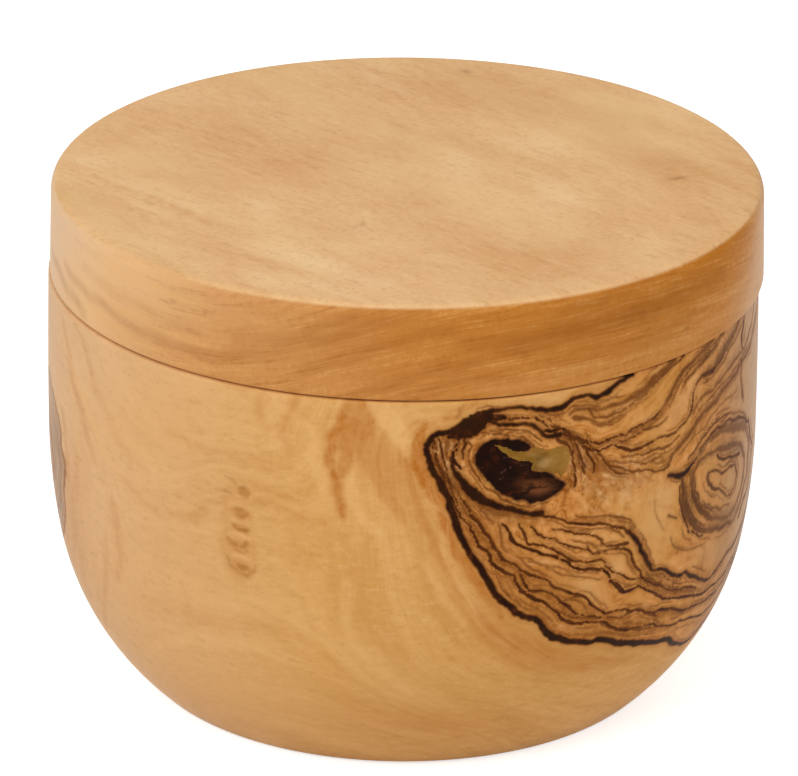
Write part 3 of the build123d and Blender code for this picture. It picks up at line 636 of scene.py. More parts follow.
PALE_STROKES = [
    (0.6, [
        (-4.6, 59.6, 1.2), (-3.2, 58.4, 2.4), (-1.6, 57.2, 3), (-0.6, 55.8, 2.4), (0.2, 54, 1.3),
        (0.5, 52.4, 0.4)]),
    (0.35, [(-0.4, 59, 1.4), (3, 58, 1.2), (5.6, 57.3, 0.8)]),
    (0.5, [(-13.4, 54.6, 0.5), (-14, 51.6, 1.6), (-13, 48.6, 1), (-12.4, 46.6, 0.4)]),
    (0.4, [(-8, 48.6, 0.8), (-7.4, 45.6, 1.6), (-5.6, 42.6, 1.4), (-3, 40.6, 0.6)]),
    (0.35, [(-20, 58.6, 0.4), (-14.6, 55.6, 0.6), (-13, 53, 0.3)]),
    (0.4, [(-48, 47.4, 0.5), (-43.5, 45.6, 0.7), (-40.6, 44.8, 0.3)]),
    (0.45, [(-74, 58, 0.8), (-67, 53.6, 1), (-61, 49, 0.9), (-55.4, 43.6, 0.8), (-50, 40.4, 0.5)]),
    (0.35, [(-68, 50, 0.5), (-64, 44, 0.9), (-62.6, 38, 0.6)]),
    (0.4, [(-50, 14.5, 0.4), (-43, 17.8, 0.6), (-36, 19.4, 0.4)]),
    (0.3, [(-8.5, 33, 1.2), (-8.6, 27, 1), (-5.5, 21.6, 0.8), (2, 15.5, 0.5)]),
    (0.3, [(4, 36, 1), (6.4, 31.4, 1.2), (9.8, 27, 0.8)]),
    (0.45, [(-27.6, 42.7, 0.2), (-26, 42.6, 0.5), (-24.4, 42.4, 0.2)]),
    (0.45, [(-27.4, 38.2, 0.2), (-25.6, 38, 0.5), (-24.2, 37.8, 0.2)]),
    (0.45, [(-27, 35, 0.2), (-25.4, 35.2, 0.6), (-24, 35, 0.2)]),
]
# Brown shading of the figured heart, beside and between its veins.
SHADES = [
    (0.9, [
        (4.9, 54.2, 1.3), (5, 52.4, 1), (5.8, 50.6, 0.9), (6.8, 49, 1.2), (7.2, 47.4, 1.2),
        (7.8, 45.6, 0.7)]),
    (0.85, [(7.9, 55, 1), (8, 53.2, 0.9), (7.6, 51.6, 0.8), (7.9, 50.2, 0.8), (8.8, 48.8, 1)]),
    (0.8, [(8.8, 54.9, 1), (10.8, 55.2, 1.4), (13, 56.4, 1), (14.4, 56.9, 0.8), (16.6, 56.5, 0.5)]),
    (0.75, [
        (9, 48, 1.6), (11, 46.1, 2.3), (13.2, 44.7, 2.4), (15.4, 43.8, 2), (18, 43, 1.6),
        (20.4, 42.4, 1.3), (22.2, 42.6, 1.5)]),
    (0.65, [
        (9.6, 46.2, 0.5), (10.4, 44.6, 1), (11.4, 43, 1.5), (12.2, 41.4, 1.9), (13, 39.8, 1.8),
        (14, 38, 1.4), (14.6, 36.6, 1.4), (16.4, 35.7, 1.2), (18.2, 34.6, 1.1), (19.4, 33.2, 1.3),
        (20.2, 31.8, 1.2), (22.4, 30.8, 1), (24.6, 29.6, 1.2), (26.2, 28.2, 1.2), (27.8, 26.8, 1.2),
        (29.4, 25.4, 1), (31.5, 24.7, 0.8)]),
    (0.45, [(15.6, 41.2, 0.6), (15.5, 39.6, 0.8), (16, 38, 0.6)]),
    (0.3, [
        (9.6, 44.6, 1), (12, 41.6, 2.8), (14.6, 38.2, 3.2), (17.6, 35, 3.2), (21.6, 32, 3.2),
        (26, 28.2, 3.4), (31, 25.2, 3.2), (37, 22.8, 3), (44, 21.2, 2.4), (52, 19.8, 1.6)]),
    (0.35, [
        (17, 32.6, 0.5), (20.6, 29.4, 0.8), (23.6, 26.8, 1), (27.6, 24.2, 1.2), (33, 22.6, 1.2),
        (38, 20.8, 1)]),
    (0.4, [(10.4, 47.2, 0.5), (13, 43.2, 1), (17, 41.8, 0.9), (20.6, 41.3, 0.8), (24, 41.2, 0.6)]),
    (0.8, [
        (24.4, 53.9, 0.9), (25.4, 53.5, 1.6), (26.8, 52.8, 1.8), (28.2, 52, 1.5), (29.4, 51, 1),
        (30.6, 50.2, 0.6)]),
    (0.7, [(26, 51.8, 0.8), (26.9, 50, 1.1), (27.3, 48, 1), (27.4, 45.8, 0.8), (26.6, 45.2, 0.4)]),
    (0.6, [(28.4, 50.6, 0.8), (29.4, 49, 0.9), (30.8, 47.8, 1), (32.6, 47.4, 0.9), (34.4, 46.8, 0.6)]),
    (0.55, [(33, 48.4, 0.5), (34, 47.2, 0.9), (35.6, 46, 1.1), (36.8, 45.2, 0.6)]),
    (0.45, [(30.2, 50, 0.5), (32, 49.2, 0.7), (33.4, 48.6, 0.5)]),
    (0.5, [(21.6, 55.8, 0.6), (23, 54.8, 0.7), (24.4, 54.4, 0.6)]),
    (0.4, [(22.4, 57.2, 0.8), (24.6, 56.8, 1), (26.4, 57.4, 0.5)]),
    (0.6, [(27.6, 55.5, 0.9), (28.8, 55.4, 0.8)]),
    (0.5, [
        (29.4, 56.4, 0.5), (32, 55.4, 0.8), (35, 55.2, 1), (38, 55.9, 1.3), (40.6, 56.8, 1.9),
        (43, 57.8, 2), (45.5, 58.9, 1.6), (47.6, 60, 1.2)]),
    (0.35, [(31, 54.2, 0.6), (34, 53.8, 0.9), (37, 54.6, 0.6)]),
    (0.55, [
        (32, 51.2, 0.4), (35, 51.2, 0.6), (38.4, 51.4, 1), (41, 52.2, 0.8), (44, 52.7, 0.8), (46, 54, 1),
        (47.6, 55.6, 1.1), (49.4, 57.4, 1), (52.6, 58.5, 0.8), (56, 59.3, 0.6)]),
    (0.5, [(36.4, 49.7, 0.5), (38.2, 48.9, 0.9), (40.4, 49.1, 0.5)]),
    (0.45, [(39.4, 46.8, 0.6), (43, 46.2, 1.1), (46, 45.3, 1), (47.6, 46.2, 1.1)]),
    (0.5, [
        (47.6, 46.2, 1), (51, 47.8, 1.3), (54, 49.2, 1.4), (57, 50.3, 1.3), (60.5, 50.9, 1.6),
        (64, 51.8, 1.5), (68, 52.3, 1.2), (74, 53.4, 0.9)]),
    (0.4, [
        (51.8, 50.4, 0.8), (52.6, 52.6, 0.7), (53.6, 51.2, 0.9), (56, 52.4, 0.8), (60, 53.2, 0.9),
        (66, 54.6, 0.9), (72, 56.6, 0.8)]),
    (0.65, [(55.4, 55.4, 1), (58.6, 55.9, 1.7), (61, 56.8, 1.9), (64, 58, 1.6), (67.6, 59.4, 1.2)]),
    (0.45, [(49.6, 56, 0.5), (53, 56.8, 0.8), (56.6, 57.9, 0.9), (60, 59, 0.7)]),
    (0.75, [(46.8, 42.9, 0.7), (49, 42.4, 1.2), (51.6, 43, 1.3), (54, 44.2, 1), (57, 45.2, 0.8)]),
    (0.7, [(58, 45.2, 0.9), (61, 45.6, 1.4), (65, 45, 1.9), (69, 43.8, 2), (74, 41.9, 1.7)]),
    (0.65, [
        (52.6, 41.8, 1.1), (53, 39.6, 1.2), (53.4, 37.8, 1.2), (55, 35.8, 1.2), (57, 34.3, 1.3),
        (59.5, 33, 1.5), (62.5, 31.8, 1.9), (66, 31, 1.6), (71, 30.8, 1.4)]),
    (0.6, [
        (50.4, 41.8, 0.9), (50.6, 39.4, 1.1), (51, 37.4, 1.3), (52.2, 35.4, 1.4), (54, 33.6, 1.3),
        (56.4, 32, 1), (60, 30.9, 1), (66, 29.6, 1.2), (70, 28.8, 1)]),
    (0.65, [
        (54, 42.5, 0.7), (57.4, 42.9, 0.6), (60, 42.6, 0.8), (63, 42.2, 1.4), (66.4, 41.2, 1.8),
        (71, 39, 1.7)]),
    (0.4, [(56.9, 40, 0.6), (57.6, 38.9, 1), (58.8, 37.9, 0.7)]),
    (0.5, [
        (27, 40.7, 0.7), (30, 39.9, 0.9), (33.4, 39.6, 1), (36, 38.9, 1), (38, 37.9, 1),
        (39.2, 36.4, 0.8)]),
    (0.65, [
        (38.6, 37, 0.8), (39.8, 35.6, 1.3), (40.8, 34, 1.4), (41.7, 32.2, 1.4), (42.8, 30.6, 1.2),
        (43.8, 29.7, 0.9)]),
    (0.45, [(34.4, 30.9, 0.9), (36, 29.4, 1.1), (37.4, 28, 0.9), (40, 27.4, 0.7)]),
    (0.55, [
        (41.5, 27.9, 0.9), (44, 26.9, 1.1), (46.4, 25.6, 1.1), (49, 24.4, 1), (52, 23.3, 1),
        (56, 22.4, 0.9), (62, 21.2, 0.9)]),
    (0.5, [(41, 29.2, 0.6), (43, 28.3, 0.8), (46, 27.6, 0.6)]),
    (0.55, [
        (31.6, 24.6, 0.8), (34.4, 24, 1.2), (37, 22.9, 1.2), (40, 22, 1.1), (43.4, 21.1, 1),
        (48, 20.2, 0.8)]),
    (0.6, [
        (41.4, 24, 0.8), (44.2, 22.8, 1.3), (47, 21.9, 1.4), (50.4, 21, 1.4), (54.6, 19.8, 1.2),
        (60, 18.9, 1.2), (66, 18.4, 1)]),
    (0.35, [(48.8, 32.2, 0.8), (49.6, 30.9, 0.9), (52, 30.3, 0.6)]),
    (0.5, [
        (28, 23.4, 0.6), (31, 22.2, 0.9), (35, 21.5, 1.1), (40, 20.2, 1.1), (46, 18.9, 0.9),
        (54, 16.8, 0.6)]),
    (0.45, [(15.4, 33.6, 0.4), (17.6, 30.8, 0.8), (20.4, 28.4, 1), (23, 26.6, 1), (25.6, 24.4, 0.8)]),
    (0.3, [(30.2, 43.2, 0.7), (32.4, 43.8, 0.9), (34, 42.4, 0.5)]),
    (0.35, [(36.4, 43.6, 0.6), (38.2, 42.2, 0.9), (37.4, 40.6, 0.5)]),
    (0.3, [(28.4, 42.6, 0.5), (31, 41.4, 0.8), (34, 40.8, 0.5)]),
]
# Broad soft stains, a few of them painted shade and painted light: (azimuth, height, half length, half
# width, tilt, strength), lengths in mm.
BROWN_STAINS_AND_SHADE = [
    (-2.5, 50.6, 6, 2.8, 122, 0.4), (26, 29, 17, 5, 145, 0.35), (14.5, 38.5, 6, 2.5, 125, 0.3),
    (15, 25, 8, 2.2, 135, 0.5), (22, 21.5, 8, 2.2, 150, 0.6), (33, 17, 9, 1.8, 168, 0.45),
    (4, 10, 20, 3.5, 172, 0.35), (-36, 24, 12, 2, 5, 0.2), (36, 45.5, 6, 1.8, 160, 0.5),
    # the stains at azimuth -68 and -64 are painted shade, darker low towards the left edge
    (31, 48, 5, 2.5, 150, 0.4), (-68, 24, 9, 7, 90, 0.3), (-64, 36, 7, 4, 80, 0.2),
    (6.4, 46, 13, 2.6, 109, 0.3), (-5, 54, 5, 3, 100, 0.2),
]
PALE_STAINS_AND_LIGHT = [
    (44, 37, 5.5, 4, 100, 0.55), (46, 40.5, 2.4, 1.6, 0, 0.6), (49, 52.5, 4.5, 2.2, 30, 0.5),
    (65.5, 36.4, 1.8, 1.6, 0, 0.6), (60, 27, 7, 1.6, 160, 0.4), (31, 29.5, 4, 1.4, 130, 0.5),
    (36, 32, 2.2, 1.3, 130, 0.6), (-45, 50, 14, 5, 20, 0.3), (-30, 28, 16, 4, 0, 0.2),
    # these three are painted light: the lower front paler, as if lit from the floor
    (-22, 11, 20, 6, 0, 0.4), (-3, 20, 9, 5, 150, 0.4), (-50, 18, 10, 8, 100, 0.2),
]
# The row of pin knots: (azimuth, height, half width, half height), and the strokes that mark them.
PIN_KNOTS = [
    (-25, 44.7, 1.3, 0.9), (-25.6, 41.5, 1.7, 1.2), (-25.8, 39.3, 1.7, 0.6), (-26, 36.7, 2.1, 1.1),
    (-25.5, 33.4, 2.2, 1.2),
]
PIN_DARK = [
    (0.55, [(-25.8, 45.1, 0.4), (-25, 45, 0.9), (-24.4, 44.6, 0.6)]),
    (0.5, [(-25.6, 44.5, 0.6), (-24.7, 44.3, 0.8)]),
    (0.3, [(-28.2, 46.4, 0.3), (-27.2, 46.2, 0.5), (-26.4, 45.6, 0.3)]),
    (0.3, [(-30, 44.2, 0.2), (-28.4, 44.4, 0.5), (-27.2, 44.1, 0.2)]),
    (0.5, [(-26.6, 41.9, 0.4), (-25.6, 42, 0.7), (-24.6, 41.6, 0.5)]),
    (0.65, [(-26.2, 41.2, 0.3), (-25.4, 41.1, 0.6), (-24.8, 41.3, 0.3)]),
    (0.8, [
        (-27, 39.7, 0.25), (-26.5, 39.3, 0.5), (-25.6, 39.05, 0.4), (-24.7, 39, 0.45), (-24.2, 39.3, 0.2)]),
    (0.5, [(-28, 37.4, 0.3), (-27.2, 36.8, 0.6), (-26.4, 36.7, 0.6)]),
    (0.55, [(-25.4, 36.4, 0.5), (-24.8, 36.9, 0.6), (-24.6, 37.4, 0.3)]),
    (0.4, [(-26.4, 35.9, 0.3), (-25.4, 35.7, 0.4), (-24.6, 36, 0.3)]),
    (0.4, [
        (-28, 34.6, 0.3), (-27.4, 33.3, 0.5), (-26.2, 32.5, 0.5), (-24.6, 32.3, 0.5), (-23.4, 33.2, 0.4),
        (-23, 34.2, 0.2)]),
    (0.8, [(-26.1, 33.6, 0.4), (-25.4, 33.4, 0.8), (-24.7, 33.5, 0.5)]),
]
PIN_PALE = [
    (0.4, [(-27.6, 43.4, 0.2), (-26, 43.2, 0.4), (-24.4, 43.2, 0.3)]),
    (0.5, [(-27.2, 40.5, 0.2), (-26, 40.1, 0.3), (-24.4, 40, 0.3)]),
    (0.5, [(-26.6, 38.5, 0.2), (-25, 38.1, 0.4), (-23.6, 38.1, 0.25)]),
    (0.4, [(-25.9, 36.2, 0.2), (-25.3, 36, 0.5)]),
    (0.4, [(-26.8, 34.8, 0.2), (-25.4, 35, 0.4), (-24, 34.6, 0.2)]),
    (0.3, [(-27.8, 32, 0.2), (-25.8, 31.3, 0.3), (-23.4, 31.8, 0.2)]),
]
# Stains where the grain darkens to a murk.
MURK = [
    (6.2, 50.4, 5.5, 1.4, 110, 0.95), (8.2, 53.4, 2.4, 1.1, 90, 0.8), (10.4, 55.8, 3.8, 1.1, 25, 0.8),
    (11.6, 45.6, 5, 1.2, 141, 0.6), (17.5, 43.2, 4.5, 0.9, 166, 0.5), (25.4, 53.6, 3.2, 0.9, 155, 0.75),
    (27.6, 51, 2.6, 1, 112, 0.5), (29.6, 49.4, 3, 1.1, 130, 0.45), (17, 57.1, 3.2, 0.5, 174, 0.5),
    (9.6, 43.6, 3.5, 0.9, 118, 0.35),
]
# Stains where the heart is a tangle of short mottled grain.
TANGLE = [
    (34, 44.6, 8, 2.6, -14, 1), (31, 47.5, 4, 2.5, -20, 0.8), (42, 44, 4, 2, 10, 0.6),
    (8.4, 52.6, 2.4, 3, 0, 0.9),
]
# Short strokes scattered there: how many, middle, spread, tilt, and least and greatest strength.
MOTTLE_DARK = [
    (70, (35, 44.8), (4.6, 1.7), -52, (0.25, 0.6)), (30, (29.5, 49), (1.8, 1.9), -62, (0.3, 0.75)),
    (34, (8.4, 52.4), (1.2, 1.8), 84, (0.45, 0.95)), (14, (46, 36), (3, 4), -60, (0.1, 0.3)),
]
MOTTLE_PALE = [
    (60, (36, 44.2), (4.8, 1.9), -52, (0.3, 0.7)), (14, (29.5, 48.6), (2, 2), -62, (0.3, 0.7)),
    (20, (7.6, 51.6), (1.7, 2.6), 94, (0.4, 0.85)), (12, (45, 38), (3, 4), -60, (0.2, 0.4)),
]
# Painted sheen round the bowl, strongest towards its edges: azimuth, how much it greys the heart and how
# much it pales the wood.
SHEEN_ROUND_BOWL = [
    (-140, 0, 0), (-118, 0, 0.08), (-104, 0, 0.24), (-90, 0, 0.3), (-76, 0, 0.2), (-68, 0, 0.06),
    (-60, 0, 0), (50, 0, 0), (60, 0.2, 0), (67, 0.4, 0.05), (73, 0.38, 0.28), (79, 0.3, 0.46),
    (90, 0.2, 0.36), (104, 0.1, 0.14), (120, 0.04, 0.03), (136, 0, 0),
]
# Stains of the second knot, whose rings are greyer.
EYE_GREY = [(57, 38, 13, 10, 0, 1), (62, 56, 6, 4, 0, 0.7)]
# Spots of painted highlight on the resin.
RESIN_HIGHLIGHT = [(22.8, 49.9, 1.1, 0.5, 10, 1), (20.6, 51.2, 0.8, 0.3, 160, 0.25)]
# Stains where the resin runs out thinly over the wood.
RESIN_THIN = [
    (26.7, 50.2, 2, 1.3, 95, 0.65), (25.8, 48.2, 1.2, 0.7, 130, 0.5), (22.6, 51.6, 2.4, 0.35, 0, 0.4),
]
# Stains of the redder part of the knot.
KNOT_EMBER = [
    (20.9, 46.4, 2.2, 0.9, 168, 0.8), (22.6, 46, 1.2, 0.6, 10, 0.4), (18.6, 49.4, 1.6, 0.5, 120, 0.3),
]


# ---------------------------------------------------------------- laying the figure out
def skin_points(azimuth, height):
    """Places on the bowl's outside."""
    turn = np.radians(azimuth)
    radius = outside_radius(height)
    return np.stack([radius * np.sin(turn), -radius * np.cos(turn), np.asarray(height, float)], axis=-1)


def roughen(points, chance, levels=3, share=0.055):
    """Breaks each straight part of a run into shorter, uneven ones, in mm round the rim and up."""
    flat = [np.array([radians(a) * RIM_RADIUS, h, w]) for a, h, w in points]
    for _ in range(levels):
        finer = [flat[0]]
        for a, b in zip(flat, flat[1:]):
            run = b - a
            middle = (a + b) / 2
            middle[:2] += np.array([-run[1], run[0]]) * chance.normal(0, share)
            middle[2] *= 1 + chance.normal(0, 0.1)
            finer += [middle, b]
        flat = finer
    return flat


def sampled(points, pitch=VEIN_PITCH):
    """Evenly close samples along a roughened run: azimuth, height and half width."""
    rows = []
    for a, b in zip(points, points[1:]):
        count = max(1, int(np.hypot(*(b - a)[:2]) / pitch))
        for k in range(count):
            rows.append(a + (b - a) * k / count)
    rows.append(points[-1])
    rows = np.array(rows)
    return np.degrees(rows[:, 0] / RIM_RADIUS), rows[:, 1], rows[:, 2] / 2


def inside_outline(azimuth, height, outline):
    """Which points lie inside a closed outline of (azimuth, height)."""
    found = np.zeros(len(azimuth), bool)
    for (a1, h1), (a2, h2) in zip(outline, outline[1:] + outline[:1]):
        crosses = (h1 > height) != (h2 > height)
        at = a1 + (height - h1) / (h2 - h1 + 1e-9) * (a2 - a1)
        found ^= crosses & (azimuth < at)
    return found


def nearest(places, samples, *extra):
    """Distance from each place to the nearest sample, and that sample's own values."""
    tree = kdtree.KDTree(len(samples))
    for k, point in enumerate(samples):
        tree.insert(point, k)
    tree.balance()
    distance = np.empty(len(places))
    index = np.empty(len(places), int)
    for k, point in enumerate(places):
        _, index[k], distance[k] = tree.find(point)
    return distance, *[values[index] for values in extra]


def ring_field(centres, numbers):
    """A smooth ring number for any place, through the given places."""
    softness = 1.5
    slack = 0.02
    batch = 8000

    def kernel(places):
        gap = places[:, None, :] - centres[None, :, :]
        return -np.sqrt((gap**2).sum(-1) + softness**2)

    count = len(centres)
    matrix = np.zeros((count + 4, count + 4))
    matrix[:count, :count] = kernel(centres) - np.eye(count) * slack
    matrix[:count, count] = 1
    matrix[:count, count + 1:] = centres / RIM_RADIUS
    matrix[count:, :count] = matrix[:count, count:].T
    weights = np.linalg.solve(matrix, np.concatenate([numbers, np.zeros(4)]))

    def value(places):
        parts = []
        for start in range(0, len(places), batch):
            some = places[start:start + batch]
            flat = weights[count] + some / RIM_RADIUS @ weights[count + 1:]
            parts.append(kernel(some) @ weights[:count] + flat)
        return np.concatenate(parts)

    return value


def add_cover(total, right, up, spot, fade=0):
    """Adds one soft oval to how strongly each place is covered already."""
    long, wide, tilt, strength = spot
    c, s = cos(radians(tilt)), sin(radians(tilt))
    along, aside = right * c + up * s, -right * s + up * c
    cover = strength * np.exp(-((along / long) ** 2) - (aside / wide) ** 2 - fade)
    return total + cover - total * cover


def stains(azimuth, height, spots):
    """How strongly the soft stains cover each place."""
    total = np.zeros(len(azimuth))
    for spot_azimuth, spot_height, *spot in spots:
        across = (azimuth - spot_azimuth + 180) % 360 - 180
        total = add_cover(total, np.radians(across) * RIM_RADIUS, height - spot_height, spot)
    return total


def stroke_runs(strokes, on_surface=skin_points):
    """Samples, half widths and strength of each soft stroke."""
    runs = []
    for strength, points in strokes:
        azimuth, height, half = sampled(roughen(points, chance, 2), STROKE_PITCH)
        runs.append((on_surface(azimuth, height), half, strength))
    return runs


def stroke_cover(skin, runs, soft):
    """How strongly the strokes cover each place, fading out over a soft edge."""
    batch = 20000
    total = np.zeros(len(skin))
    for samples, half, strength in runs:
        reach = half.max() + soft + 0.1
        low, high = samples.min(axis=0) - reach, samples.max(axis=0) + reach
        index = np.nonzero(((skin > low) & (skin < high)).all(axis=1))[0]
        for start in range(0, len(index), batch):
            some = index[start:start + batch]
            gap = skin[some][:, None, :] - samples[None, :, :]
            edge = (np.sqrt((gap**2).sum(-1)) - half).min(axis=1)
            share = np.clip((soft - edge) / (1.6 * soft), 0, 1)
            cover = strength * share * share * (3 - 2 * share)
            total[some] = np.maximum(total[some], cover)
    return total


def scattered(patches, chance):
    """Short bent soft strokes scattered over patches of mottled grain."""
    strokes = []
    for count, centre, spread, tilt, strength in patches:
        for _ in range(count):
            azimuth, height = chance.normal(centre, spread)
            turn = radians(chance.normal(tilt, 22))
            half = chance.uniform(0.5, 1.5)
            bend = chance.normal(0, 0.25)
            wide = chance.uniform(0.1, 0.45)
            points = []
            for run, thickness in ((-1, 0.3), (-0.4, 0.9), (0.3, 1.0), (1, 0.3)):
                x = run * half * cos(turn) - bend * run * run * sin(turn)
                y = run * half * sin(turn) + bend * run * run * cos(turn)
                points.append((azimuth + degrees(x / RIM_RADIUS), height + y, wide * thickness))
            strokes.append((chance.uniform(*strength), points))
    return strokes


def companions(points, chance, sides):
    """Short faint lines that run beside a vein and copy its bends."""
    flat = np.array(points)
    along = np.concatenate([[0], np.cumsum(np.hypot(*np.diff(flat[:, :2], axis=0).T))])

    def at(run):
        return np.stack([np.interp(run, along, flat[:, k]) for k in range(3)], axis=-1)

    lines = []
    start = chance.uniform(0, 3)
    while start < along[-1] - 2:
        length = chance.uniform(2.5, 9)
        run = np.arange(start, min(start + length, along[-1]), STROKE_PITCH)
        side = chance.choice(sides)
        gap = chance.uniform(0.25, 1.0)
        if len(run) > 3:
            ahead = at(run + 0.8)[:, :2] - at(run - 0.8)[:, :2]
            ahead /= np.hypot(*ahead.T)[:, None] + 1e-6
            place = at(run)
            drift = gap + place[:, 2] / 2 + 0.12 * np.cumsum(chance.normal(0, 0.35, len(run)))
            place[:, 0] -= ahead[:, 1] * side * drift
            place[:, 1] += ahead[:, 0] * side * drift
            taper = np.minimum(1, np.minimum(run - run[0], run[-1] - run) / 1.2)
            place[:, 2] = 0.06 + 0.2 * taper * chance.uniform(0.5, 1.1)
            lines.append((list(place), chance.uniform(0.14, 0.38)))
        start += chance.uniform(1.2, 5.5)
    return lines


class Samples:
    """Close samples along many veins: their places, half widths and darkness."""

    def __init__(self):
        self.places, self.half, self.ink = [], [], []

    def follow(self, run, ink):
        azimuth, height, half = sampled(run)
        self.places.append(skin_points(azimuth, height))
        self.half.append(half)
        self.ink.append(np.full(len(half), ink))

    def join(self):
        self.places, self.half, self.ink = map(np.concatenate, (self.places, self.half, self.ink))


chance = np.random.default_rng(7)
mottle_chance = np.random.default_rng(21)
wide_veins, fine_lines = Samples(), Samples()
for _, ink, points in VEINS:
    rough = roughen(points, chance)
    if points is OUTLINE_VEIN:
        rough_outline = rough
    if points is PATCH_EDGE:
        rough_patch = rough
    mean_width = sum(p[2] for p in points) / len(points)
    (wide_veins if mean_width >= WIDE_VEIN else fine_lines).follow(rough, ink)
    if ink > FAINT_INK:
        echoes = np.random.default_rng(len(fine_lines.places) + 40)
        for line, line_ink in companions(rough, echoes, [1] if points is OUTLINE_VEIN else [-1, 1]):
            fine_lines.follow(line, line_ink)
wide_veins.join()
fine_lines.join()
ring_places, ring_numbers = [], []
ringed_veins = [(number, points) for number, _, points in VEINS if number is not None]
for number, points in ringed_veins + PLAIN_RINGS:
    ring_places += [(azimuth, height) for azimuth, height, *_ in points]
    ring_numbers += [number] * len(points)
bowl_rings = ring_field(skin_points(*np.array(ring_places, float).T), np.array(ring_numbers, float))
soft_strokes = {                # the runs of each kind, drawn in this order, and their softness
    "brown_and_shade_stroke": (stroke_runs(BROWN_STROKES_AND_SHADE), 0.8),
    "pale_stroke": (stroke_runs(PALE_STROKES), 0.6),
    "shade": (stroke_runs(SHADES), 0.55),
    "mottle_dark": (stroke_runs(PIN_DARK + scattered(MOTTLE_DARK, mottle_chance)), 0.25),
    "mottle_pale": (stroke_runs(PIN_PALE + scattered(MOTTLE_PALE, mottle_chance)), 0.25),
}


def bowl_place(places):
    """Azimuth and height of each place, carried through the wall to the outside, and its depth."""
    x, y, height = places.T
    azimuth = np.degrees(np.arctan2(x, -y))
    azimuth = np.where(azimuth < SEAM_AZIMUTH, azimuth + 360, azimuth)
    depth = np.clip(outside_radius(height) - np.hypot(x, y), 0, DEEPEST)
    return azimuth + WALL_LEAN * depth, height, depth


def edge_values(azimuth, height, skin, rough, pitch=EDGE_PITCH, closing=()):
    """Distance from the edge of a part of the wood, above 0 inside it."""
    outline = [(degrees(p[0] / RIM_RADIUS), p[1]) for p in rough] + list(closing)
    edge_azimuth, edge_height, _ = sampled(rough, pitch)
    gap = nearest(skin, skin_points(edge_azimuth, edge_height))[0]
    return np.clip(np.where(inside_outline(azimuth, height, outline), gap, -gap), -FAR, FAR)


def mark_bowl_wood(piece):
    """Writes what the wood shader reads: rings, veins, edges, strokes and stains."""
    places = corners(piece)
    azimuth, height, depth = bowl_place(places)
    skin = skin_points(azimuth, height)
    write_values(piece, "rings", bowl_rings(places))
    near_figure = np.nonzero((azimuth > FIGURE_FIRST) & (azimuth < FIGURE_LAST))[0]
    # the veins grow softer and paler from the outside inwards, and the fine lines soon end
    softer_inside = 1 + 0.22 * np.clip(depth - 1.5, 0, 9)
    for name, samples, softness, kept in (
        ("vein", wide_veins, softer_inside, 1 - 0.02 * depth),
        ("line", fine_lines, 1, np.clip(1.1 - depth / 5, 0, 1)),
    ):
        gap, ink = np.full(len(places), FAR), np.zeros(len(places))
        distance, half, dark = nearest(skin[near_figure], samples.places, samples.half, samples.ink)
        gap[near_figure] = distance - half
        ink[near_figure] = dark
        write_values(piece, name + "s", np.minimum(gap / softness, FAR))
        write_values(piece, name + "_ink", ink * kept)
    above_rim = ((116, 70), (38, 70))
    write_values(piece, "figured", edge_values(azimuth, height, skin, rough_outline, closing=above_rim))
    write_values(piece, "side_patch", edge_values(azimuth, height, skin, rough_patch))
    knot_edge = roughen([(a, h, 0.1) for a, h in KNOT + KNOT[:1]], np.random.default_rng(3), share=0.07)
    write_values(piece, "knot", -edge_values(azimuth, height, skin, knot_edge, VEIN_PITCH))
    for name, (runs, soft) in soft_strokes.items():
        write_values(piece, name, stroke_cover(skin, runs, soft))
    for name, spots in (
        ("brown", BROWN_STAINS_AND_SHADE), ("pale", PALE_STAINS_AND_LIGHT), ("tangle", TANGLE), ("eye", EYE_GREY),
        ("murk", MURK), ("ember", KNOT_EMBER),
    ):
        write_values(piece, name, stains(azimuth, height, spots))
    dots = np.zeros(len(places))
    for spot_azimuth, spot_height, wide, tall in PIN_KNOTS:
        x = np.radians(azimuth - spot_azimuth) * RIM_RADIUS
        dots = np.maximum(dots, np.exp(-((x / wide) ** 2) - ((height - spot_height) / tall) ** 2))
    write_values(piece, "pin_knots", dots)
    # Painted light that changes round the box: paler round azimuth -110, a painted sheen and light from the
    # left, and greyer and paler towards the edges by a table of painted sheen. They are the same all round
    # near the axis, where azimuths crowd together.
    off_axis = np.clip((np.hypot(places[:, 0], places[:, 1]) - 8) / 26, 0, 1)
    turned_away = np.abs((azimuth + 110 + 180) % 360 - 180)
    write_values(piece, "painted_light_left", 0.5 + (np.clip((98 - turned_away) / 45, 0, 1) - 0.5) * off_axis)
    turns, sheen_grey, sheen_pale = np.array(SHEEN_ROUND_BOWL).T
    swung = azimuth + 5 * np.sin(height / 13 + 0.4) * np.clip((np.abs(azimuth) - 76) / 20, 0, 1)
    # a painted reflection that pales the lower right
    low_painted_reflection = 0.22 * np.exp(-(((azimuth - 82) / 9) ** 2) - ((height - 20) / 12) ** 2)
    write_values(piece, "painted_sheen_grey", np.interp(swung, turns, sheen_grey) * off_axis)
    write_values(piece, "painted_sheen_pale", (np.interp(swung, turns, sheen_pale) + low_painted_reflection) * off_axis)


# ---------------------------------------------------------------- the bowl
def skin_faces(piece, low, high, first, last):
    """Places of the faces, and which lie on the outside between two heights and two azimuths."""
    middles = face_middles(piece)
    azimuth, height, _ = bowl_place(middles)
    outside = np.hypot(middles[:, 0], middles[:, 1]) > outside_radius(height) - NEAR_SKIN
    held = (height > low) & (height < high) & (azimuth > first) & (azimuth < last)
    return azimuth, height, outside & held


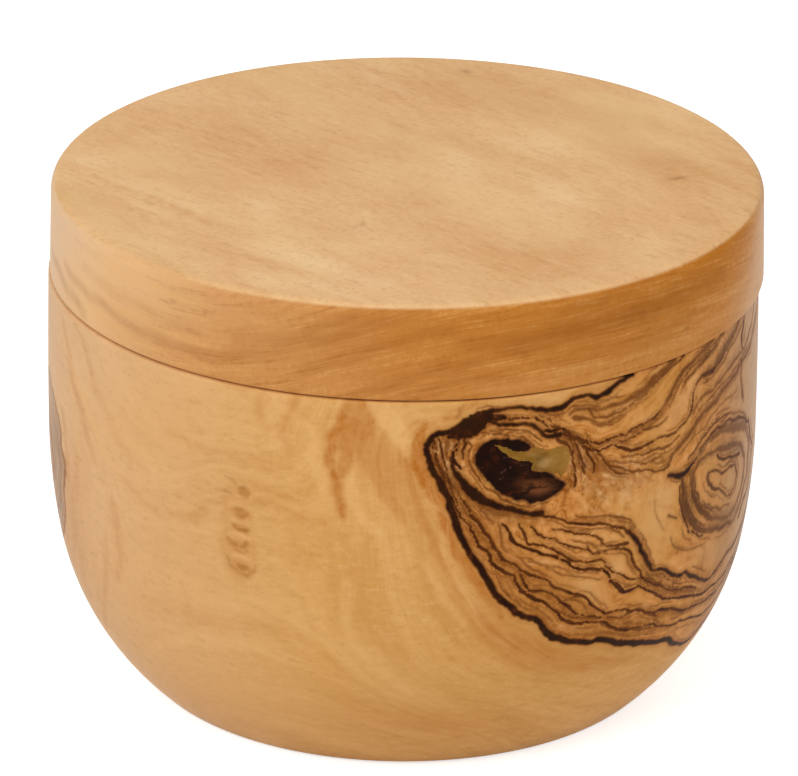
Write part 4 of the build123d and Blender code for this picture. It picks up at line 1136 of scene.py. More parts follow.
def settle_on_skin(piece):
    """Puts the corners that a cut left on a chord back on the turned outside."""
    places = corners(piece)
    radius = np.hypot(places[:, 0], places[:, 1])
    right = outside_radius(places[:, 2])
    low, high = 1.0, BOWL_HEIGHT - RIM_EDGE_ROUND - 0.02
    off = (np.abs(radius - right) < CHORD_SAG) & (places[:, 2] > low) & (places[:, 2] < high)
    places[:, :2] *= np.where(off, right / np.maximum(radius, 1e-6), 1.0)[:, None]
    put_corners(piece, places)


def divide_close_faces(piece, azimuth, height, chosen, reach, samples, half):
    """Smaller faces in place of those chosen ones that lie within reach of a sample's edge."""
    index = np.nonzero(chosen)[0]
    distance, half = nearest(skin_points(azimuth[index], height[index]), samples, half)
    chosen[index] = distance - half < reach
    divide_faces(piece, chosen)


def divide_near_veins(piece, reach, first, last, low=8):
    """Smaller faces on the outside near the veins and the strokes of the clear wood."""
    runs = soft_strokes["brown_and_shade_stroke"][0] + soft_strokes["pale_stroke"][0]
    samples = np.concatenate([wide_veins.places, fine_lines.places] + [run[0] for run in runs])
    half = np.concatenate([wide_veins.half, fine_lines.half] + [run[1] for run in runs])
    divide_close_faces(piece, *skin_faces(piece, low, BOWL_HEIGHT + 1, first, last), reach, samples, half)
    settle_on_skin(piece)


def divide_patch(piece, cuts, low, high, first, last, top=BOWL_HEIGHT, slope=0.0):
    """Smaller faces on a patch of the outside, cut off above by a sloping line."""
    azimuth, height, chosen = skin_faces(piece, low, high, first, last)
    divide_faces(piece, chosen & (height < top - slope * azimuth), cuts)
    settle_on_skin(piece)


def divide_inside(piece):
    """Smaller faces near the wide veins where they come out on the rim and in the cavity."""
    azimuth, height, depth = bowl_place(face_middles(piece))
    chosen = (depth > 1) & (height > CAVITY_FLOOR + 1) & (azimuth > -10) & (azimuth < 118)
    divide_close_faces(piece, azimuth, height, chosen, 1.0, wide_veins.places, wide_veins.half)


bowl = turn_on_lathe("turned_bowl", bowl_outline())
# reach from a vein, first and last azimuth, and lowest height if the patch is a small one
for patch in ((1.0, -20, 82), (0.8, 82, 118), (0.9, -125, -60)):
    divide_near_veins(bowl, *patch)
divide_patch(bowl, 3, 30.5, 47.5, -31, -22)                       # the row of pin knots
divide_patch(bowl, 1, 38, 54, 25, 48, top=62.5, slope=0.35)       # the mottled grain
for patch in ((0.3, -12, 82), (0.2, 82, 116), (0.25, -125, -60), (0.12, 2, 13, 43)):
    divide_near_veins(bowl, *patch)
divide_inside(bowl)

# The resin in the knot hole: the hole is cut straight in, and the fill keeps the bowl's surface.
# The outline of the hole is in mm to the right of its middle and up from it.
KNOT_HOLE = [
    (-5.5, 3.2), (-4, 2.6), (-2.6, 1.9), (-0.4, 1.5), (0.4, 2.2), (2.2, 1.4), (3.6, 1.7), (5.1, 1.4),
    (5.5, 0), (5.2, -1.4), (5, -2.2), (4.2, -2.9), (3.6, -2.2), (2.7, -1.9), (1.2, -1.5), (-0.1, -1.3),
    (-0.2, -0.7), (0.1, -0.2), (-0.8, 0.2), (-2.2, 0.5), (-3.4, 1.1), (-4.4, 2),
]
TORN_PITCH = 0.3            # the hole's edge is broken up this finely
TORN_DEPTH = 0.07           # and strays this much


def knot_cutter():
    """A prism over the hole's torn outline, reaching out past the surface."""
    turn = radians(KNOT_AZIMUTH)
    outward = Vector((sin(turn), -cos(turn), 0))
    right = Vector((cos(turn), sin(turn), 0))
    back = outward * (RIM_RADIUS - KNOT_FILL_DEPTH) + Vector((0, 0, KNOT_HEIGHT))
    tear = np.random.default_rng(5)
    outline = []
    for start, end in zip(KNOT_HOLE, KNOT_HOLE[1:] + KNOT_HOLE[:1]):
        outline.append(start)
        for x, y in stretch(start, end, TORN_PITCH)[:-1]:
            nudge = tear.normal(0, TORN_DEPTH, 2)
            outline.append((x + nudge[0], y + nudge[1]))
    points = [(back + right * x + Vector((0, 0, y))) * MM for x, y in outline]
    cutter = draw_line("knot_cutter", points)
    bpy.ops.mesh.select_all(action="SELECT")
    bpy.ops.mesh.edge_face_add()
    reach = outward * (KNOT_FILL_DEPTH + KNOT_CUTTER_REACH) * MM
    bpy.ops.mesh.extrude_region_move(TRANSFORM_OT_translate={"value": reach})
    bpy.ops.mesh.select_all(action="SELECT")
    bpy.ops.mesh.normals_make_consistent(inside=False)
    bpy.ops.object.mode_set(mode="OBJECT")
    return cutter


knot_hole = knot_cutter()
select_only(bowl)
bpy.ops.object.duplicate()
resin = bpy.context.active_object
resin.name = "resin_fill"
resin.data.name = "resin_fill"
carve(resin, knot_hole, "INTERSECT")
carve(bowl, knot_hole)
throw_away(knot_hole)
above_bowl = BOWL_HEIGHT + CUTTER_REACH
bore(bowl, PIVOT_RADIUS, PIN_BORE, PIN_BORE_BOTTOM, above_bowl)
bore(bowl, -PIVOT_RADIUS, MAGNET_POCKET, BOWL_HEIGHT - MAGNET_POCKET_DEPTH, above_bowl)
mark_bowl_wood(bowl)
resin_azimuth, resin_height, _ = bowl_place(corners(resin))
# the resin's painted highlight
write_values(resin, "haze", stains(resin_azimuth, resin_height, RESIN_HIGHLIGHT))
write_values(resin, "thin", stains(resin_azimuth, resin_height, RESIN_THIN))
smooth_faces(bowl)
smooth_faces(resin)

# ---------------------------------------------------------------- the lid
lid = turn_on_lathe("turned_lid", lid_outline(), LID_X, LID_Y)
below_lid = LID_BOTTOM - CUTTER_REACH
bore(lid, PIVOT_RADIUS, BUSH_BORE, below_lid, BUSH_BORE_TOP)
bore(lid, -PIVOT_RADIUS, MAGNET_POCKET, below_lid, LID_BOTTOM + MAGNET_POCKET_DEPTH)

# The lid is sawn from a plain plank: its grain runs from back left to front right,
# and its rings are arcs round a heart that lies below it.
GRAIN_TURN = 47.0           # degrees from +X towards -Y
HEART_ACROSS = -6.7
HEART_HEIGHT = 8.0
# Stains and specks: place, half length, half width, tilt, strength. Those below the top lie on the side.
LID_BROWN = [
    (-22, 11, LID_TOP, 18, 11, -40, 0.42), (6, 36, LID_TOP, 14, 8, -30, 0.45),
    (36, 5, LID_TOP, 12, 5, -45, 0.3), (12, -28, LID_TOP, 14, 6, -45, 0.3),
    (-33, -13, LID_TOP, 12, 0.6, -42, 0.5), (-28, -19, LID_TOP, 12, 0.5, -42, 0.45),
    (-36, -17, LID_TOP, 7, 0.5, -44, 0.4), (-20, -33, LID_TOP, 9, 0.9, -40, 0.35),
    (-12, 5, LID_TOP, 5, 0.5, -42, 0.35), (2, 16, LID_TOP, 8, 0.5, -45, 0.25),
    (16, 6, LID_TOP, 8, 0.5, -47, 0.25),
]
LID_PALE = [
    (-18, 36, LID_TOP, 14, 3, -45, 0.5), (-34, 2, LID_TOP, 10, 3, -45, 0.5),
    (-5, 19, LID_TOP, 17, 3, -45, 0.4), (30, 28, LID_TOP, 10, 5, -45, 0.6),
    (14, 31, LID_TOP, 12, 4, -45, 0.35), (30, 16, LID_TOP, 12, 8, -45, 0.45),
    (-44, -14, LID_TOP, 12, 2.5, -62, 0.5), (6, -8, LID_TOP, 24, 4, -45, 0.3),
]
LID_SPECKS = [
    (38, -0.5, LID_TOP, 1.6, 0.5, 20, 0.6), (8.5, 42.5, LID_TOP, 1, 0.6, -30, 0.5),
    (-6.5, -20, LID_TOP, 1.2, 0.4, 40, 0.35), (38.4, -32.2, 63.8, 0.7, 0.5, 0, 0.45),
    (-31.6, -38.8, 69.4, 1, 0.2, 14, 0.45),
]
# Strokes on the lid's side: strength, and the run as (azimuth, height, width).
SIDE_BROWN = [
    (0.32, [
        (-70, 66, 0.3), (-62, 65, 0.5), (-52, 64, 0.6), (-44, 63.6, 0.8), (-36, 63.3, 0.9),
        (-29, 63.8, 0.9), (-21, 65.6, 1), (-14, 67.8, 1.1), (-8, 69.8, 1.2), (-2, 71.6, 1.1),
        (3, 72.8, 0.6)]),
    (0.2, [(-62, 68.2, 0.3), (-52, 67.2, 0.5), (-42, 66.4, 0.4), (-34, 66, 0.3)]),
    (0.35, [(-27, 66.4, 0.2), (-20, 67.4, 0.5), (-13, 70, 0.6), (-8, 72, 0.4)]),
    (0.3, [(-16, 63.4, 0.4), (-10, 65.4, 0.8), (-4, 68, 1.2), (2, 69.6, 1), (7, 70, 0.5)]),
    (0.4, [(-8, 60.6, 0.4), (-4, 61.8, 0.7), (0, 63.4, 0.8), (5, 64.6, 0.7), (11, 65.4, 0.5)]),
    (0.25, [(0, 61.2, 0.4), (6, 62.4, 0.7), (12, 63.2, 0.7), (18, 62.6, 0.4)]),
    (0.3, [
        (8, 68.6, 0.6), (14, 67.6, 1.6), (19, 67.8, 2.4), (24, 68.4, 3), (30, 68.8, 3.4), (38, 69.2, 3.6),
        (46, 69.2, 3.2), (54, 69, 2.4), (60, 68.6, 1)]),
    (0.5, [
        (14, 67.4, 0.6), (19, 67.4, 1.4), (24, 68, 2), (30, 68.4, 2.4), (38, 68.8, 2.6), (46, 68.8, 2),
        (52, 68.6, 0.8)]),
    (0.4, [(24, 71, 0.3), (30, 71.8, 0.5), (36, 72.4, 0.7), (40, 72.9, 0.8), (46, 73, 0.4)]),
    (0.5, [(14, 66.6, 0.4), (18.6, 66.2, 0.8), (23, 66.6, 0.4)]),
    (0.4, [(28, 71.2, 0.3), (34, 71.9, 0.6), (42, 72.8, 0.3)]),
    (0.35, [(-80, 64.6, 0.6), (-70, 62.8, 0.9), (-62, 61.4, 0.7)]),
    (0.3, [(26, 65, 0.2), (34, 65.4, 0.4), (44, 65.2, 0.4), (54, 65.8, 0.2)]),
    (0.3, [(20, 64.2, 0.2), (28, 63.6, 0.4), (38, 64, 0.3), (46, 63.6, 0.2)]),
]
SIDE_PALE = [
    (0.5, [(-53, 65.6, 0.15), (-46, 65.1, 0.25), (-40, 65, 0.25), (-32, 64.6, 0.15)]),
    (0.5, [(-42, 64.9, 0.1), (-36, 64.8, 0.2), (-30, 64.7, 0.1)]),
    (0.35, [(-60, 70.8, 0.2), (-50, 70.4, 0.25), (-40, 70.4, 0.25), (-30, 70.7, 0.15)]),
    (0.35, [(-60, 63.4, 0.3), (-52, 62.4, 0.5), (-42, 61.8, 0.5), (-30, 62, 0.4), (-22, 62.8, 0.2)]),
    (0.35, [(-24, 69.6, 0.4), (-17, 71.4, 0.6), (-13, 72.6, 0.3)]),
    (0.15, [(10, 61.6, 1), (20, 61.6, 1.4), (30, 62, 1.6), (42, 62, 1.6), (52, 62, 1.4), (64, 62.4, 1)]),
    (0.3, [(52, 66, 0.4), (60, 65.4, 0.8), (70, 65.4, 0.8)]),
]
# How dark the lid's side is, from end grain that drinks oil and painted light that keeps its left pale:
# azimuth, share near its lower edge, share near its top edge.
SIDE_OIL_AND_SHADE = [
    (-90, 0, 0), (-60, 0.06, 0), (-45, 0.4, 0.14), (-30, 0.64, 0.5), (-15, 0.72, 0.7), (0, 0.8, 0.84),
    (15, 0.82, 0.88), (30, 0.84, 0.88), (45, 0.8, 0.9), (60, 0.78, 0.94), (70, 0.62, 0.86), (80, 0.5, 0.6),
    (100, 0.4, 0.42), (133, 0.15, 0.15), (180, 0.55, 0.55), (223, 0.7, 0.7), (250, 0.25, 0.25), (270, 0, 0),
]
# Painted sheen towards the edges of the lid's side: azimuth and share.
SIDE_PAINTED_SHEEN = [
    (-90, 0.4), (-76, 0.42), (-66, 0.16), (-57, 0), (62, 0), (68, 0.06), (76, 0.32), (90, 0.36), (108, 0.2),
    (133, 0), (216, 0), (236, 0.1), (252, 0.3), (270, 0.4),
]
# The run of a layer line round the lid's side: azimuth and height.
SIDE_LAYER = [
    (-90, 67), (-70, 65.8), (-60, 64.6), (-50, 63.8), (-40, 63.4), (-30, 63.8), (-20, 65.6), (-10, 68.6),
    (0, 71), (10, 72.6), (20, 73.4), (30, 73.8), (40, 73.9), (50, 73.4), (60, 72.4), (75, 70.4), (90, 69),
    (133, 67), (180, 69), (223, 71), (270, 67),
]


def lid_side_points(azimuth, height):
    """Places on the lid's side."""
    turn = np.radians(azimuth)
    radius = (LID_TOP_RADIUS + LID_BOTTOM_RADIUS) / 2
    x, y = LID_X + radius * np.sin(turn), LID_Y - radius * np.cos(turn)
    return np.stack([x, y, np.asarray(height, float)], axis=-1)


def lid_stains(places, spots):
    """How strongly the lid's stains or specks cover each place."""
    x, y, z = places.T
    total = np.zeros(len(places))
    for spot_x, spot_y, spot_z, *spot in spots:
        if spot_z >= LID_TOP:
            right, up, depth = x - LID_X - spot_x, y - LID_Y - spot_y, z - LID_TOP
        else:
            facing = atan2(spot_x, -spot_y)
            right, up = x * cos(facing) + y * sin(facing), z - spot_z
            depth = np.minimum(x * sin(facing) - y * cos(facing) - 25, 0)
        total = add_cover(total, right, up, spot, (depth / 3) ** 2)
    return total


def mark_lid_wood(piece):
    """Writes what the lid's shader reads: rings, layers, oil with painted light, painted sheen, stains and
    strokes.
    """
    places = corners(piece)
    x, y, z = places.T
    turn = radians(GRAIN_TURN)
    along, across = x * cos(turn) - y * sin(turn), x * sin(turn) + y * cos(turn)
    drift = 1.6 * np.sin(along / 19 + 0.6) + 0.9 * np.sin(along / 8.5 + across / 14)
    from_heart = np.hypot(across - HEART_ACROSS + drift * 0.6, z - HEART_HEIGHT + along * 0.05)
    write_values(piece, "rings", from_heart)
    outward = mesh_numbers(piece.data.vertices, "normal")
    write_values(piece, "upright", np.hypot(outward[:, 0], outward[:, 1]))
    azimuth = np.degrees(np.arctan2(x, -y))
    azimuth = np.where(azimuth < -90, azimuth + 360, azimuth)
    turns, low_oil_and_shade, high_oil_and_shade = np.array(SIDE_OIL_AND_SHADE).T
    low_oil_and_shade, high_oil_and_shade = np.interp(azimuth, turns, low_oil_and_shade), np.interp(azimuth, turns, high_oil_and_shade)
    # darkness of the side from oil, with painted light that keeps its left pale
    write_values(piece, "oil_and_shade", low_oil_and_shade + (high_oil_and_shade - low_oil_and_shade) * np.clip((z - 62) / 8, 0, 1))
    # painted sheen, paler towards the edges of the side
    write_values(piece, "sheen_pale", np.interp(azimuth - 0.9 * (z - 66), *np.array(SIDE_PAINTED_SHEEN).T))
    write_values(piece, "layers", z - np.interp(azimuth, *np.array(SIDE_LAYER).T))
    for name, spots in (("brown", LID_BROWN), ("pale", LID_PALE), ("specks", LID_SPECKS)):
        write_values(piece, name, lid_stains(places, spots))
    for name, strokes, soft in (("side_brown", SIDE_BROWN, 1.3), ("side_pale", SIDE_PALE, 0.5)):
        write_values(piece, name, stroke_cover(places, stroke_runs(strokes, lid_side_points), soft))


def divide_lid_side(piece):
    """Smaller faces on the lid's side, all of them set on its turned surface."""
    edge = LID_TOP_RADIUS - 0.3
    x, y, _ = face_middles(piece).T
    divide_faces(piece, np.hypot(x - LID_X, y - LID_Y) > edge)
    places = corners(piece)
    right, up = places[:, 0] - LID_X, places[:, 1] - LID_Y
    radius = np.hypot(right, up)
    height = LID_TOP - LID_EDGE_ROUND - LID_BOTTOM - LID_LOWER_ROUND
    rise = (places[:, 2] - LID_BOTTOM - LID_LOWER_ROUND) / height
    on_side = (rise > -0.001) & (rise < 1.001) & (radius > edge)
    wanted = LID_BOTTOM_RADIUS + (LID_TOP_RADIUS - LID_BOTTOM_RADIUS) * rise
    scale = np.where(on_side, wanted / np.maximum(radius, 1), 1)
    places[:, 0] = LID_X + right * scale
    places[:, 1] = LID_Y + up * scale
    put_corners(piece, places)


divide_lid_side(lid)
mark_lid_wood(lid)
smooth_faces(lid)


# ---------------------------------------------------------------- materials
class Wire:
    """A value inside a node tree, which can be reckoned with."""

    def __init__(self, shader, socket):
        self.shader, self.socket = shader, socket

    def __add__(self, other):
        return self.shader.calc("ADD", self, other)

    def __sub__(self, other):
        return self.shader.calc("SUBTRACT", self, other)

    def __mul__(self, other):
        return self.shader.calc("MULTIPLY", self, other)

    def larger(self, other):
        return self.shader.calc("MAXIMUM", self, other)

    def smaller(self, other):
        return self.shader.calc("MINIMUM", self, other)

    def fit(self, low, high, to_low=0.0, to_high=1.0, smooth=True):
        """Carries a range over to another, held at its ends."""
        made = self.shader.node("MapRange", interpolation_type="SMOOTHSTEP" if smooth else "LINEAR")
        for value, socket in zip((self, low, high, to_low, to_high), made.inputs):
            self.shader.plug(value, socket)
        return Wire(self.shader, made.outputs[0])

    def ramp(self, *stops):
        """Colours at positions, blended between: each stop is (position, red, green, blue)."""
        made = self.shader.node("ValToRGB")
        self.shader.plug(self, made.inputs[0])
        elements = made.color_ramp.elements
        while len(elements) < len(stops):
            elements.new(0.5)
        for element, (position, *colour) in zip(elements, stops):
            element.position = position
            element.color = srgb(*colour)
        return Wire(self.shader, made.outputs[0])


class Shader:
    """A node tree, built a node at a time."""

    def __init__(self, tree):
        self.tree = tree
        tree.nodes.clear()

    def node(self, kind, **settings):
        made = self.tree.nodes.new("ShaderNode" + kind)
        for key, value in settings.items():
            setattr(made, key, value)
        return made

    def plug(self, value, socket):
        if isinstance(value, Wire):
            self.tree.links.new(value.socket, socket)
        else:
            socket.default_value = value

    def calc(self, operation, *values):
        made = self.node("Math", operation=operation)
        for value, socket in zip(values, made.inputs):
            self.plug(value, socket)
        return Wire(self, made.outputs[0])

    def seen_directly(self):
        """1 for the camera, also in a shiny surface or through a clear one, and 0 for lighting."""
        ray = self.node("LightPath").outputs
        kinds = ("Is Camera Ray", "Is Glossy Ray", "Is Transmission Ray")
        camera, glossy, through = (Wire(self, ray[kind]) for kind in kinds)
        return camera.larger(glossy).larger(through)


class Material(Shader):
    """A material whose colour is painted in layers over one another."""

    def __init__(self, name):
        self.material = bpy.data.materials.new(name)
        self.material.use_nodes = True
        super().__init__(self.material.node_tree)
        self.out = self.node("OutputMaterial")
        self.surface = self.node("BsdfPrincipled")
        self.tree.links.new(self.surface.outputs[0], self.out.inputs["Surface"])
        self.colour = None

    def read(self, name):
        return Wire(self, self.node("Attribute", attribute_name=name).outputs["Fac"])

    def place(self):
        return Wire(self, self.node("TexCoord").outputs["Object"])

    def stretched(self, scale, kind="POINT", turn=0.0):
        """The object's own coordinates, scaled and turned about its axis."""
        made = self.node("Mapping", vector_type=kind)
        self.plug(self.place(), made.inputs["Vector"])
        made.inputs["Rotation"].default_value = (0, 0, turn)
        made.inputs["Scale"].default_value = scale
        return Wire(self, made.outputs[0])

    def noise(self, scale, detail=3.0, rough=0.5, vector=None, depth=None):
        """Soft noise over the object's own coordinates, with scale in waves per metre."""
        made = self.node("TexNoise", noise_dimensions="3D" if depth is None else "4D")
        self.plug(vector or self.place(), made.inputs["Vector"])
        if depth is not None:
            self.plug(depth, made.inputs["W"])
        made.inputs["Scale"].default_value = scale
        made.inputs["Detail"].default_value = detail
        made.inputs["Roughness"].default_value = rough
        return Wire(self, made.outputs[0])

    def streaks(self, rings, across, along, detail=2.0, rough=0.5):
        """Noise that is fine from ring to ring and long along them: wavelengths in mm."""
        scale = 1 / (along * MM)
        return self.noise(scale, detail, rough, depth=rings * (1 / across / scale))

    def mix(self, share, under, over):
        """One colour over another, as a wire."""
        made = self.node("Mix", data_type="RGBA")
        for number, value in ((0, share), (6, under), (7, over)):
            self.plug(value, made.inputs[number])
        return Wire(self, made.outputs[2])

    def paint(self, share, *over):
        """Lays a colour, or a wire that carries one, over the material's colour."""
        self.colour = self.mix(share, self.colour, srgb(*over) if len(over) == 3 else over[0])

    def bump(self, height, distance, strength):
        made = self.node("Bump")
        made.inputs["Strength"].default_value = strength
        made.inputs["Distance"].default_value = distance * MM
        self.plug(height, made.inputs["Height"])
        return Wire(self, made.outputs[0])

    def set(self, **values):
        for key, value in values.items():
            self.plug(value, self.surface.inputs[key.replace("_", " ")])
        return self.material


def plain_grain(wood, rings, weights, *tones):
    """Colours clear wood by broad drifts, ring streaks and fine fibre."""
    broad = wood.streaks(rings, 4.5, 30, 2.0)
    middle = wood.streaks(rings, 1.3, 10, 3.0, 0.6)
    fine = wood.streaks(rings, 0.4, 2.5, 2.0, 0.6)
    wood.colour = (broad * weights[0] + (middle * weights[1] + fine * weights[2])).ramp(*tones)
    return middle, fine


def oiled(wood, grain):
    """The dull sheen of oiled wood over its colour."""
    return wood.set(
        Base_Color=wood.colour,
        Roughness=0.52,
        Specular_IOR_Level=0.05,
        Sheen_Weight=0.3,
        Sheen_Roughness=0.12,
        Normal=wood.bump(grain, 0.03, 0.3),
    )


def bowl_wood():
    wood = Material("olive_wood_bowl")
    rings = wood.read("rings")
    jag = wood.noise(420, 3.0, 0.6) - 0.5
    crumb = wood.noise(1200, 3.0, 0.6) - 0.5
    middle, fine = plain_grain(
        wood, rings, (0.55, 0.29, 0.16),
        (0.28, 198, 140, 70), (0.44, 210, 155, 86), (0.56, 218, 164, 97), (0.74, 228, 177, 112),
    )
    # painted light and sheen: the wood paler round the left of the bowl
    wood.paint(wood.read("painted_light_left") * 0.6, 230, 188, 146)
    upright = wood.stretched((0.4, 0.4, 1.0))
    dust = wood.noise(3000, 2.0, 0.6) - 0.5
    pore = wood.noise(1100, 4.0, 0.65, upright) - 0.5 + (crumb * 0.25 + dust * 0.45)
    wood.paint(pore.fit(0.0, -0.3, 0.0, 0.28), 172, 114, 52)
    wood.paint(pore.fit(0.0, 0.3, 0.0, 0.28), 238, 194, 138)

    # browner and paler strokes and stains of the clear wood
    torn = (jag * 2.0 + crumb * 1.4).fit(-0.5, 0.5, 0.6, 1.3, smooth=False)
    figured = wood.read("figured") + jag * 0.4
    glow = figured.fit(-3.0, -0.2, 0.0, 0.42).larger(figured.fit(-1.3, -0.1, 0.0, 0.66))
    # browner strokes and stains, some of them painted shade low on the left
    brown = (wood.read("brown_and_shade_stroke") * torn).larger(wood.read("brown")).larger(glow)
    wood.paint(brown * (middle + jag * 0.5).fit(0.25, 0.7, 1.2, 0.7), 182, 108, 38)
    wood.paint(wood.read("pale_stroke") * torn, 232, 180, 116)
    patch = wood.read("side_patch")
    patch_colour = wood.streaks(patch + jag * 0.6, 0.8, 12, 2.0, 0.6).ramp(
        (0.34, 112, 74, 50), (0.48, 150, 114, 90), (0.64, 172, 138, 112))
    patch_colour = wood.mix(patch.fit(3.0, 8.5, 0.0, 0.6), patch_colour, srgb(172, 112, 62))
    wood.paint((patch + jag).fit(-0.4, 1.2) * middle.fit(0.3, 0.7, 0.9, 0.6), patch_colour)

    # the figured heart
    veins = wood.read("veins") + (crumb * 0.16 + jag * 0.3)
    lines = wood.read("lines") + (crumb * 0.16 + jag * 0.2)
    heart = figured.fit(-0.1, 0.3)
    mottle = wood.noise(520, 4.0, 0.65)
    calm = veins.smaller(lines).fit(0.3, 3.0, 0.6, 0.4)
    ringed = (wood.streaks(rings + jag * 0.45, 0.8, 12, 2.0, 0.65) - 0.5) * calm
    stripe = ringed + ((mottle - 0.5 + crumb * 0.5) * (wood.read("tangle") + 0.4) + 0.5)
    heart_colour = stripe.ramp(
        (0.28, 152, 86, 30), (0.40, 192, 122, 54), (0.49, 211, 143, 74), (0.58, 219, 153, 86),
        (0.74, 231, 174, 112),
    )
    islands = wood.noise(110, 2.0, 0.5).fit(0.42, 0.60, 0.0, 0.4)
    wood.paint(heart, wood.mix(islands, heart_colour, srgb(200, 142, 64)))
    wood.paint(wood.read("brown") * heart, 164, 96, 38)
    # paler stains, and painted light on the lower front
    wood.paint(wood.read("pale"), 222, 170, 108)
    shade_colour = wood.mix(wood.read("eye"), srgb(126, 68, 14), srgb(78, 58, 32))
    wood.paint(wood.read("shade") * (stripe + crumb).fit(0.3, 0.75, 1.1, 0.4), shade_colour)
    uneven = (mottle + crumb * 0.8).fit(0.3, 0.7, 0.4, 1.2, smooth=False)
    clots = wood.noise(620, 4.0, 0.62).fit(0.42, 0.58, 1.0, 0.15)
    wood.paint(wood.read("murk") * heart * clots, 64, 30, 12)
    wood.paint(wood.read("mottle_dark") * uneven, 134, 76, 24)
    wood.paint(wood.read("mottle_pale") * uneven, 230, 176, 116)
    # painted sheen: the heart greyed and the wood paled towards the edges of the bowl
    wood.paint(wood.read("painted_sheen_grey") * heart, 142, 116, 92)
    wood.paint(wood.read("painted_sheen_pale"), 206, 182, 156)

    # veins with soft brown edges and a shade around them
    strength = wood.noise(230, 3.0, 0.55).fit(0.36, 0.56, 0.78, 1.0)
    vein_ink = wood.read("vein_ink")
    line_ink = wood.read("line_ink")
    vein_share = vein_ink.fit(0.15, 0.7, 0.3, 1.0, smooth=False) * strength
    vein_share = vein_share.larger(vein_ink.fit(0.8, 0.98, 0.0, 0.96))
    line_share = line_ink.fit(0.15, 0.6, 0.25, 1.0, smooth=False) * strength
    around_vein = veins.fit(0.0, 1.1, 0.5, 0.0) * vein_share
    around_line = lines.fit(0.0, 0.6, 0.5, 0.0) * line_share
    wood.paint(around_vein.larger(around_line) * figured.fit(-0.5, 0.3, 0.4, 1.0), 150, 88, 32)
    vein_rust = veins.fit(-0.1, 0.34, 0.9, 0.0) * vein_share
    line_rust = lines.fit(-0.1, 0.2, 0.85, 0.0) * line_share
    wood.paint(vein_rust.larger(line_rust), 118, 64, 20)
    ink = mottle.ramp((0.36, 18, 3, 0), (0.56, 30, 7, 0), (0.67, 62, 24, 6), (0.76, 112, 66, 36))
    dark_ink = mottle.ramp((0.36, 66, 28, 4), (0.62, 92, 46, 12))
    pale_ink = mottle.ramp((0.36, 128, 72, 24), (0.62, 152, 92, 40))
    pale_ink = wood.mix(wood.read("eye"), pale_ink, srgb(104, 76, 46))
    for edge, share, blackness, low, high in (
        (lines, line_share, line_ink, -0.09, 0.15), (veins, vein_share, vein_ink, -0.2, 0.2),
    ):
        tone = wood.mix(blackness.fit(0.22, 0.6, smooth=False), pale_ink, dark_ink)
        tone = wood.mix(blackness.fit(0.64, 0.92), tone, ink)
        wood.paint(edge.fit(low, high, 0.96, 0.0) * share, tone)

    # the knots
    knot = wood.read("knot") + jag * 0.5
    wood.paint(knot.fit(0.0, 0.6, 0.8, 0.0) * mottle.fit(0.35, 0.6, 1.0, 0.5), 104, 56, 20)
    wood.paint(knot.fit(-0.25, 0.15, 1.0, 0.0), ink)
    wood.paint(wood.read("ember") * wood.noise(900, 3.0, 0.6, upright).fit(0.4, 0.6, 0.1, 1.0), 140, 82, 44)
    wood.paint(knot.fit(-1.0, -1.6) * wood.noise(1000, 3.0, 0.6).fit(0.6, 0.72, 0.0, 0.4), 112, 74, 62)
    wood.paint((wood.read("pin_knots") + jag * 0.5).fit(0.15, 0.9, 0.0, 0.42), 190, 128, 64)
    return oiled(wood, fine)


